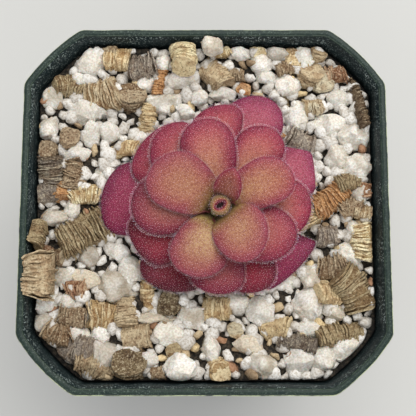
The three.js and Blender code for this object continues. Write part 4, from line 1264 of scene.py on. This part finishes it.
# %% The pebble tree
PEBBLE_GAP = 2.0
PEBBLE_SIZE = (0.9, 1.8)
PEBBLES_MOST = 2e6  # to the square metre, before the gap thins them out
PEBBLE_SLOPE = 0.4  # no pebble lies where the sheet is steeper than this
PEBBLE_RISE = 0.8
PEBBLE_WIDTHS = (0.6, 1.35)  # over its size, least and most
PEBBLE_SHAKES = ((0.5, 1.3), (0.9, 1.0))  # features to the millimetre, and size
PEBBLE_RINGS = 16
PEBBLE_EDGE = 0.985  # the outermost ring's share of the way out to the wall
PEBBLE_ROOM = 1.9  # how far below a leaf the pebbles' middles stay
CHIP_SHARE = 0.17  # of the pebbles that are chips of vermiculite
CHIP_TINTS = ((1.0, "tan"), (0.7, "gold"), (0.45, "brown"), (0.15, "rust"))


def pebble_tree():
    given = new_tree("pebbles", gap="number", smallest="number", largest="number", finish="material")
    level = axis_of(add("GeometryNodeInputNormal"), "Z") > PEBBLE_SLOPE
    points = scatter(given["source"], given["gap"], PEBBLES_MOST, level, 4)
    points = keep(points, "mood", chance(0.0, 1.0, 41))
    points = keep(points, "centre", position())
    size = chance(given["smallest"], given["largest"], 42)
    long, wide = (size * chance(*PEBBLE_WIDTHS, seed) for seed in (43, 44))
    chip = named("mood") > 1 - CHIP_SHARE
    high = size * calc("MULTIPLY_ADD", chip, -0.5, 1.0)
    spin = combine(**{axis: chance(0.0, math.tau, 45 + k) for k, axis in enumerate("XYZ")})
    pebbles = realize(copies(points, unit_ball(2), turn_by(spin), combine(X=long, Y=wide, Z=high)))
    pebbles = blunt_faces(pebbles)
    for features, size in PEBBLE_SHAKES:
        pebbles = shake(pebbles, features, size * MM)
    return end_tree(smooth(pebbles), given["finish"])


# %% Pebble finish
pebble = Finish("pebbles", Roughness=0.88)
mood = pebble.stored("mood")
colours = blend(ramp(mood, 0.0, 0.8, soft=False), TINTS["white"], TINTS["grey"])
for share, tint in CHIP_TINTS:
    colours = blend(mood > 1 - CHIP_SHARE * share, colours, TINTS[tint])
grit = pebble.per_mm(2.0, detail=4.0)
pebble.paint(Base_Color=blend(ramp(grit, 0.35, 0.55), tinted(colours, rgb(216, 208, 198)), colours))
pebble.relief(grit, 0.2)

# %% Lay the pebbles
places, faces = loft([bed_top(PEBBLE_EDGE - k / BED_RINGS, PEBBLE_RISE) for k in range(PEBBLE_RINGS)])
places = np.array(places)
places[:, 2] = np.minimum(places[:, 2], leaf_roof(places) - PEBBLE_ROOM)
sheet = mesh_piece("pebble sheet", places, faces[1:-1])
smallest, largest = (size * MM for size in PEBBLE_SIZE)
piece = grow("pebbles", sheet, pebble_tree(), gap=PEBBLE_GAP * MM, smallest=smallest, largest=largest,
             finish=pebble.material)
settle(pressed(piece), "growing_mix", "growing_mix")

# %% [markdown]
# ## The leaves
#
# A leaf's surface follows the rosette's rule on a fine grid, once for its upper skin and once for its
# lower one. The two skins meet at the margin, where the thickness falls to nothing over a small radius,
# so a leaf is a closed, soft-edged pad. A groove runs along its middle, its margin curls down, and an
# old leaf may be folded. Its foot runs on into the crown. Each vertex remembers how far it lies from
# the margin, how far along the leaf, on which side, and whether it lies in the open. The colours and
# the hairs read that.

# %% Leaf surface
ALONG_STEPS = 34
ACROSS_STEPS = 26
MARGIN_STEPS = 160
RIM_RADIUS = 0.27  # the margin's rounding
SOCKET_DEPTH = 1.1  # how far a leaf's foot runs on into the crown
WAVE = 0.16  # slow unevenness of a blade
WAVES_PER_MM = 0.22
GROOVE = 0.16  # depth of the midrib's groove
GROOVE_WIDTH = 0.16  # over the half width
CURL_DEPTH, CURL_WIDTH = 0.35, 1.5  # how far the margin turns down, and over what width
FOLDS = {"oldest_1": ((53, 16.2), (-21, 20.5))}  # degrees from the leaf's axis, and how far out
FOLD_SOFTNESS = 0.25
FOLD_BACK, FOLD_DOWN = 0.9, 0.4  # for each millimetre that lies past a fold
TUCKED = 0.9  # how far inside a younger leaf's margin the skin below is out of sight
JOIN_DISTANCE = 0.002


def margin_distance(leaf, start, places):
    """How far places in a leaf's plan lie from its outline."""
    along = start + (1 - start) * (1 - (1 - np.linspace(0, 1, MARGIN_STEPS)) ** 3)
    x = leaf.foot + (leaf.reach - leaf.foot) * along
    half = leaf.half_width(along)
    drift = leaf.sway * along**2
    loop = np.concatenate([np.stack([x, drift - half], 1), np.stack([x, drift + half], 1)[::-1]])
    span = np.roll(loop, -1, 0) - loop
    offset = places[:, None] - loop[None]
    share = np.clip((offset * span).sum(2) / np.maximum((span**2).sum(1), 1e-9), 0, 1)
    return np.linalg.norm(offset - share[..., None] * span, axis=2).min(1)


def leaf_normals(leaf, along, across, delta=0.01):
    clipped = np.clip(along, delta, 1 - 4 * delta)
    forward = leaf.middle(clipped + delta, across) - leaf.middle(clipped - delta, across)
    sideways = leaf.middle(clipped, across + delta) - leaf.middle(clipped, across - delta)
    normals = np.cross(forward, sideways)
    return normals / np.linalg.norm(normals, axis=-1, keepdims=True)


def folded(leaf, middle):
    """An old leaf may be folded down along a straight line, which gives it a corner."""
    for degrees, limit in FOLDS.get(leaf.name, ()):
        across = np.array((math.cos(math.radians(degrees)), math.sin(math.radians(degrees))))
        over = middle[:, :2] @ across - limit
        over = (over + np.hypot(over, FOLD_SOFTNESS)) / 2
        middle[:, :2] -= FOLD_BACK * over[:, None] * across
        middle[:, 2] -= FOLD_DOWN * over
    return middle


def in_the_open(leaf, vertices):
    """1 where no younger leaf lies over a place, and 0 where one does, well inside its margin."""
    clear = np.ones(len(vertices))
    for younger in LEAVES[:LEAVES.index(leaf)]:
        along, across = younger.spot(vertices)
        room = younger.half_width(np.clip(along, 0, 1)) * (1 - abs(across))
        short = (1 - along) * (younger.reach - younger.foot)
        clear[(along > 0) & (room > TUCKED) & (short > TUCKED)] = 0
    return clear


def merged(piece):
    """The piece with its coinciding vertices joined."""
    work = bmesh.new()
    work.from_mesh(piece.data)
    bmesh.ops.remove_doubles(work, verts=work.verts, dist=JOIN_DISTANCE * MM)
    bmesh.ops.dissolve_degenerate(work, edges=work.edges, dist=JOIN_DISTANCE * MM)
    work.to_mesh(piece.data)
    work.free()
    piece.data.shade_smooth()
    return piece


def leaf_piece(leaf, age, material):
    start = -SOCKET_DEPTH / (leaf.reach - leaf.foot)
    rows = start + (1 - start) * np.sin(np.linspace(0, 1, ALONG_STEPS + 1) * math.pi / 2)
    columns = np.sin(np.linspace(-1, 1, ACROSS_STEPS + 1) * math.pi / 2)
    along, across = (grid.ravel() for grid in np.meshgrid(rows, columns, indexing="ij"))
    middle = leaf.middle(along, across)
    rim = margin_distance(leaf, start, middle[:, :2])
    rim[(np.abs(across) > 1 - 1e-9) | (along > 1 - 1e-9) | (along < start + 1e-9)] = 0
    skin = np.sqrt(1 - (1 - np.clip(rim / RIM_RADIUS, 0, 1)) ** 2)
    wave = [noise.noise(Vector((x * WAVES_PER_MM, y * WAVES_PER_MM, age * 7.3))) for x, y, _ in middle]
    groove = np.exp(-((across / GROOVE_WIDTH) ** 2)) * np.sin(np.clip(along, 0, 1) * math.pi)
    middle[:, 2] += WAVE * np.array(wave) * np.clip(along * 3, 0, 1) - GROOVE * groove
    middle[:, 2] -= CURL_DEPTH * np.clip(1 - rim / CURL_WIDTH, 0, 1) ** 2 * np.clip(along * 3, 0, 1)
    middle = folded(leaf, middle)
    reach = leaf_normals(leaf, along, across) * (leaf.thickness(along, across) * skin / 2)[:, None]
    vertices = leaf.stand(np.concatenate([middle + reach, middle - reach]))
    size, width = len(along), ACROSS_STEPS + 1
    faces = []
    for row in range(ALONG_STEPS):
        for column in range(ACROSS_STEPS):
            a = row * width + column
            faces.append((a, a + width, a + width + 1, a + 1))
            faces.append((a + size, a + size + 1, a + size + width + 1, a + size + width))
    blade = mesh_piece(f"leaf_{leaf.name}_blade", vertices, faces, material)

    outwards = middle[:, :2] - leaf.middle(0.5, 0.0)[:2]
    outwards /= np.maximum(np.linalg.norm(outwards, axis=1, keepdims=True), 1e-6)
    outwards = np.stack([*leaf.turned(*outwards.T), np.zeros(size)], 1)
    store(blade, "outwards", np.tile(outwards, (2, 1)))
    store(blade, "upper", np.repeat([1.0, 0.0], size))
    store(blade, "open", in_the_open(leaf, vertices))
    for name, values in (("rim", rim), ("inwards", rim / (leaf.width / 2)), ("along", along),
                         ("shade", np.full(size, leaf.shade)), ("pale", np.full(size, leaf.pale))):
        store(blade, name, np.tile(values, 2))
    return merged(blade)


# %% [markdown]
# ## Leaf colours
#
# The leaves redden from the heart of the rosette outwards: young ones are tan to salmon with a rose
# margin, the next are rose red, and the oldest are purple. Each leaf is palest along its middle and
# turns olive at its foot, where light hardly reaches. Its skin is freckled, and glands without a stalk
# show as pale dots, painted lighter as the glint of their glue. Each leaf's brightness is partly painted
# light, darker at the front left and lighter at the back and right. One function makes a finish from
# four named colours, so each ring of leaves has its own finish and all of them behave alike.

# %% Leaf finishes
LEAF_COLOURS = {  # heart, blade, margin, foot
    "young": (rgb(138, 82, 64), rgb(142, 72, 68), rgb(132, 38, 66), rgb(98, 80, 46)),
    "inner": (rgb(158, 98, 78), rgb(152, 82, 78), rgb(134, 52, 72), rgb(128, 100, 60)),
    "middle": (rgb(166, 84, 84), rgb(148, 56, 73), rgb(112, 23, 54), rgb(132, 88, 54)),
    "outer": (rgb(142, 36, 54), rgb(124, 26, 50), rgb(88, 10, 36), rgb(114, 60, 42)),
    "oldest": (rgb(158, 58, 90), rgb(142, 40, 78), rgb(98, 16, 56), rgb(104, 48, 44)),
    # for two old leaves at the back and right: partly their own pinker colour, partly painted sheen
    "faded": (rgb(168, 86, 102), rgb(150, 63, 90), rgb(106, 28, 66), rgb(150, 104, 84)),
}
PALE_HEART, PALE_FOOT = rgb(186, 154, 110), rgb(172, 156, 88)
GAP_SHADE = rgb(52, 46, 24)
GLANDS_PER_MM = 2.7


def leaf_finish(ring):
    heart, blade, margin, foot = LEAF_COLOURS[ring]
    finish = Finish(f"{ring} leaf skin", Roughness=0.5, Specular_IOR_Level=0.2, Subsurface_Weight=0.2,
                    Subsurface_Radius=(1.0, 0.35, 0.3), Subsurface_Scale=0.7 * MM)
    along, pale, shade = (finish.stored(name) for name in ("along", "pale", "shade"))
    cloudy = calc("MULTIPLY_ADD", finish.per_mm(0.3, detail=4.0) - 0.5, 0.4, finish.stored("inwards"))
    warm = blend(pale * ramp(along, 0.95, 0.3), heart, PALE_HEART)
    skin = blend(ramp(cloudy, 0.1, 0.85), blade, warm)
    skin = blend(ramp(cloudy, -0.12, 0.42), margin, skin)
    skin = blend(ramp(along, 0.3, 0.0), skin, blend(pale**2.0, foot, PALE_FOOT))
    skin = blend(ramp(along, 0.09, -0.02), skin, GAP_SHADE)
    skin = blend(ramp(finish.stored("rim"), 0.45, 0.1), skin, blend(0.6, skin, margin))
    # painted light in part: each leaf's own brightness, darker on the front left and lighter on the back and
    # right
    skin = tinted(skin, combine(X=shade, Y=shade, Z=shade))
    freckles = ramp(finish.per_mm(2.4, roughness=0.7), 0.38, 0.6)
    skin = blend(freckles, tinted(skin, rgb(216, 186, 192)), skin)
    # painted highlights in part: pale dots for glands, painted with the glint of their glue
    glands = ramp(finish.cells_per_mm(GLANDS_PER_MM), 0.34, 0.14)
    skin = blend(glands * 0.3, skin, blend(0.4, skin, rgb(255, 198, 196)))
    under = blend(0.5, skin, rgb(166, 140, 104))
    finish.paint(Base_Color=blend(finish.stored("upper"), under, skin))
    finish.relief(finish.per_mm(2.4), 0.12)
    return finish.material


# %% [markdown]
# ## The sticky hairs
#
# The hairs are what makes a butterwort. Each is a short stalk with a drop of glue. On a leaf's upper
# skin they stand upright, scattered with a least distance between them, and the youngest leaf is nearly
# bare. Along the margin they make a fringe that catches the light as a pale line. Both are one Geometry
# Nodes tree on the leaf's own mesh, which reads the values that the leaf's vertices carry.

# %% The hair tree
HAIR_GAP, YOUNG_GAP, FRINGE_GAP = 0.33, 0.5, 0.14
BUD_GAP = 0.7 * HAIR_GAP
HAIRS_MOST = 2e7  # to the square metre, before the gap thins them out
HAIR_LENGTH = 0.4
HAIR_WIDTH = 0.022
DROP_RADIUS = 0.056
HAIR_SCALES = (0.6, 1.15)
HAIR_LEAN, FRINGE_STRAY = 0.4, 0.5
FRINGE_SCALE = {"young": 0.5, "inner": 0.7, "middle": 1.25, "outer": 1.35, "oldest": 1.0}
BARE_FOOT = 0.1  # of a leaf's length
ON_THE_MARGIN = 1e-4  # millimetres from it, at most


def hair_tree():
    numbers = ("gap", "fringe_gap", "length", "width", "drop", "fringe_scale")
    given = new_tree("sticky hairs", **dict.fromkeys(numbers, "number"), finish="material")
    cone = {"Vertices": 3, "Radius Top": 0.0, "Radius Bottom": given["width"], "Depth": given["length"]}
    stalk = keep(add("GeometryNodeMeshCone", cone, out="Mesh", fill_type="NONE"), "glue", 0.0)
    ball = add("GeometryNodeMeshUVSphere", {"Segments": 4, "Rings": 2, "Radius": given["drop"]}, out="Mesh")
    tip = combine(Z=given["length"] * 0.94)
    drop = keep(add("GeometryNodeTransform", {"Geometry": ball, "Translation": tip}), "glue", 1.0)
    hair = join(stalk, drop)

    past_foot, seen = named("along") > BARE_FOOT, named("open") > 0.5
    points = scatter(given["source"], given["gap"], HAIRS_MOST, named("upper") * past_foot * seen, 2)
    leaning = combine(X=chance(-HAIR_LEAN, HAIR_LEAN, 51), Y=chance(-HAIR_LEAN, HAIR_LEAN, 52),
                      Z=chance(0.0, math.tau, 53))
    pelt = copies(points, hair, turned_by(points.other("Rotation"), leaning), chance(*HAIR_SCALES, 54))

    edge = (named("rim") < ON_THE_MARGIN) * past_foot * seen
    loop = add("GeometryNodeMeshToCurve", {"Mesh": given["source"], "Selection": edge})
    spaced = add("GeometryNodeResampleCurve", {"Curve": loop, "Length": given["fringe_gap"]}, mode="LENGTH")
    rank = add("GeometryNodeCurveToPoints", {"Curve": spaced}, out="Points", mode="EVALUATED")
    stray = combine(X=chance(-FRINGE_STRAY, FRINGE_STRAY, 61), Y=chance(-FRINGE_STRAY, FRINGE_STRAY, 62),
                    Z=chance(-0.1, 0.9, 63))
    aim = vector("ADD", named_vector("outwards"), stray)
    aimed = add("FunctionNodeAlignRotationToVector", {"Vector": aim}, axis="Z")
    fringe = copies(rank, hair, aimed, given["fringe_scale"] * chance(*HAIR_SCALES, 64))
    return end_tree(join(pelt, fringe), given["finish"])


# %% Hair finish
hairy = Finish("sticky hairs", Roughness=0.3, Subsurface_Weight=0.3, Subsurface_Scale=0.2 * MM)
stalks = blend(hairy.per_mm(0.5), rgb(190, 146, 156), rgb(212, 176, 182))
hairy.paint(Base_Color=blend(hairy.stored("glue"), stalks, rgb(218, 192, 202)))

# %% Grow the leaves and their hairs
# leaves whose colours are unlike their ring's: partly their own colour and partly painted light, lighter at
# the back and right and darker at the front left
FINISH_OF = {"outer_1": "middle", "outer_3": "middle", "outer_5": "middle",
             "oldest_1": "faded", "oldest_2": "outer", "oldest_3": "faded"}  # unlike their rings
LEAF_FINISHES = {ring: leaf_finish(ring) for ring in LEAF_COLOURS}
HAIR_TREE = hair_tree()


def grow_hairs(name, skin, slot, fringe_scale=1.0, gap=HAIR_GAP):
    """Hairs on a copy of a skin's mesh."""
    source = placed("source", skin.data.copy())
    hairs = grow(name, source, HAIR_TREE, gap=gap * MM, fringe_gap=FRINGE_GAP * MM, length=HAIR_LENGTH * MM,
                 width=HAIR_WIDTH * MM, drop=DROP_RADIUS * MM, fringe_scale=fringe_scale,
                 finish=hairy.material)
    settle(hairs, slot)


for age, leaf in enumerate(LEAVES):
    ring = leaf.name.split("_")[0]
    blade = leaf_piece(leaf, age, LEAF_FINISHES[FINISH_OF.get(leaf.name, ring)])
    settle(blade, f"leaf_{ring}", f"leaf_{leaf.name}")
    gap = YOUNG_GAP if ring == "young" else HAIR_GAP
    grow_hairs(f"leaf_{leaf.name}_hairs", blade, f"leaf_{ring}", FRINGE_SCALE[ring], gap)

# %% [markdown]
# ## The crown and the bud
#
# All leaves grow from a short stem, the crown. It flares downwards, so that each leaf finds it at its
# own level, and a few roots hold it in the mix. On top sits the bud: the youngest leaves, still rolled
# into a fat little ring with a dark red pocket that opens towards the back.

# %% The crown
STEM_RADIUS, STEM_TOP, STEM_TAPER, STEM_FOOT, STEM_FOOT_RADIUS = 2.2, -2.4, -4.0, -6.5, 1.3
STEM_TIP_RADIUS = 0.3
STEM_ROUNDING = 0.4
STEM_UNEVENNESS = 0.03
CROWN_COLLAR = 0.5
ROOT_COUNT, ROOT_RADIUS, ROOT_LENGTH, ROOT_START = 4, 0.9, 8.0, -4.2
ROOT_TIP_RADIUS = 0.03
ROOT_SPLAY, ROOT_TURN = 0.16, 0.4
ROOT_SIDES, ROOT_STEPS = 12, 12
TURNED_SIDES = 48


def stem_ring(radius, height):
    """One ring of the stem, a little uneven."""
    def reach(angle):
        spot = Vector((math.cos(angle) * 2, math.sin(angle) * 2, height * 0.8))
        return radius * (1 + STEM_UNEVENNESS * noise.noise(spot))

    return circle(reach, TURNED_SIDES, ROSETTE.x, ROSETTE.y, ROSETTE.z + height)


def root_ring(turn, share):
    """One ring of a root, by the way it grows out and by its share of the way down."""
    out = ROOT_SPLAY * ROOT_LENGTH * share**1.4
    offset = Vector((out * math.cos(turn), out * math.sin(turn), ROOT_START - ROOT_LENGTH * share))
    return circle(ROOT_RADIUS * (1 - share) ** 0.8 + ROOT_TIP_RADIUS, ROOT_SIDES, *(ROSETTE + offset))


green = Finish("olive stem", Roughness=0.5, Subsurface_Weight=0.2, Subsurface_Scale=0.8 * MM)
green.paint(Base_Color=blend(green.per_mm(0.8, detail=5.0), rgb(84, 76, 34), rgb(140, 132, 66)))
green.relief(green.per_mm(2.0, detail=4.0), 0.15)

stem_profile = rounded([
    (STEM_TIP_RADIUS, STEM_FOOT), (STEM_FOOT_RADIUS, STEM_FOOT), (STEM_RADIUS, STEM_TAPER),
    (STEM_RADIUS, STEM_TOP), (crown_radius(0), -CROWN_COLLAR), (crown_radius(0), 0),
    (CROWN_TOP_RADIUS, CROWN_TOP), (STEM_TIP_RADIUS, CROWN_TOP),
], STEM_ROUNDING)
stem_rings = [stem_ring(radius, height) for radius, height in stem_profile]
settle(mesh_piece("crown_stem", *loft(stem_rings), green.material), "crown", "crown")
for k in range(ROOT_COUNT):
    turn = math.tau * k / ROOT_COUNT + ROOT_TURN
    rings = [root_ring(turn, step / ROOT_STEPS) for step in reversed(range(ROOT_STEPS + 1))]
    settle(mesh_piece(f"root_{k + 1}", *loft(rings), green.material), "crown", "crown")

# %% The bud
BUD_LEVEL = CROWN_TOP + CLEARANCE
BUD_OVAL = 1.35  # the pocket's length over its width
BUD_TURN = math.radians(38)
BUD_UNEVENNESS = 0.07
BUD_DIP = 0.08  # how much lower it is at the back
BUD_PROFILE = [  # radius, height, and how far into the pocket
    (0.05, 0.0, 0), (0.8, 0.03, 0), (1.1, 0.4, 0), (1.6, 0.95, 0), (2.0, 1.35, 0), (2.05, 1.55, 0),
    (1.92, 1.72, 0), (1.65, 1.8, 0.1), (1.38, 1.84, 0.3), (1.2, 1.82, 0.6), (1.06, 1.7, 0.85),
    (0.9, 1.5, 0.95), (0.72, 1.3, 1.0), (0.5, 1.05, 1.15), (0.1, 0.95, 1.2),
]


def bud_ring(radius, height, inside):
    """One ring of the bud. The deeper it lies in the pocket, the more it is an oval."""
    def reach(angle):
        off = angle - BUD_TURN
        oval = 1 / math.hypot(math.cos(off) / BUD_OVAL, math.sin(off) * BUD_OVAL)
        spot = Vector((math.cos(angle) * 1.4, math.sin(angle) * 1.4, height))
        return radius * (1 + BUD_UNEVENNESS * noise.noise(spot)) * (1 + (oval - 1) * min(1, inside))

    def level(angle):
        return ROSETTE.z + BUD_LEVEL + height * (1 - BUD_DIP * math.sin(angle) * min(1, radius))

    return circle(reach, TURNED_SIDES, ROSETTE.x, ROSETTE.y, level)


bud_skin = Finish("bud skin", Roughness=0.6, Specular_IOR_Level=0.2, Subsurface_Weight=0.25,
                  Subsurface_Scale=0.5 * MM)
fuzz = bud_skin.per_mm(3.0, detail=4.0)
inside = bud_skin.stored("pocket")
skin = blend(fuzz, rgb(88, 72, 40), rgb(138, 112, 74))
skin = blend(ramp(inside, 0.0, 0.4), skin, rgb(148, 94, 66))
skin = blend(ramp(inside, 0.45, 0.8), skin, rgb(118, 34, 52))
# painted shade: the deepest part of the pocket is near black
skin = blend(ramp(inside, 0.9, 1.15), skin, rgb(30, 9, 10))
bud_skin.paint(Base_Color=skin)
bud_skin.relief(fuzz, 0.12)
bud = mesh_piece("rolled_bud", *loft([bud_ring(*row) for row in BUD_PROFILE]), bud_skin.material)
pocket = np.repeat([inside for _, _, inside in BUD_PROFILE], TURNED_SIDES)
store(bud, "pocket", pocket)
store(bud, "upper", pocket < 1)
for name in ("along", "rim", "open"):
    store(bud, name, np.ones(len(pocket)))
store(bud, "outwards", np.zeros((len(pocket), 3)))
settle(bud, "leaf_bud", "leaf_bud")
grow_hairs("bud_hairs", bud, "leaf_bud", gap=BUD_GAP)

# %% [markdown]
# ## Floor and sizes
#
# A sheet of white paper stands in for the floor. The box round all pieces is printed beside the solid
# model's.

# %% Floor, sizes and the end
FLOOR_WIDTH = 1.6  # metres

half = FLOOR_WIDTH / 2 / MM
corners = [(-half, -half, 0), (half, -half, 0), (half, half, 0), (-half, half, 0)]
paper = Finish("white paper", Roughness=0.9)
paper.paint(Base_Color=blend(paper.per_mm(0.01), rgb(192, 192, 188), rgb(196, 196, 192)))
mesh_piece("floor", corners, [(0, 1, 2, 3)], paper.material)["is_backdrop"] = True

VISUAL_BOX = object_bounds()
sizes = {"cad": [list(corner) for corner in CAD_BOX], "visual": [list(corner) for corner in VISUAL_BOX]}
for cad, visual in zip(CAD_BOX, VISUAL_BOX):
    print("box corner", [round(axis / MM, 2) for axis in cad], [round(axis / MM, 2) for axis in visual])
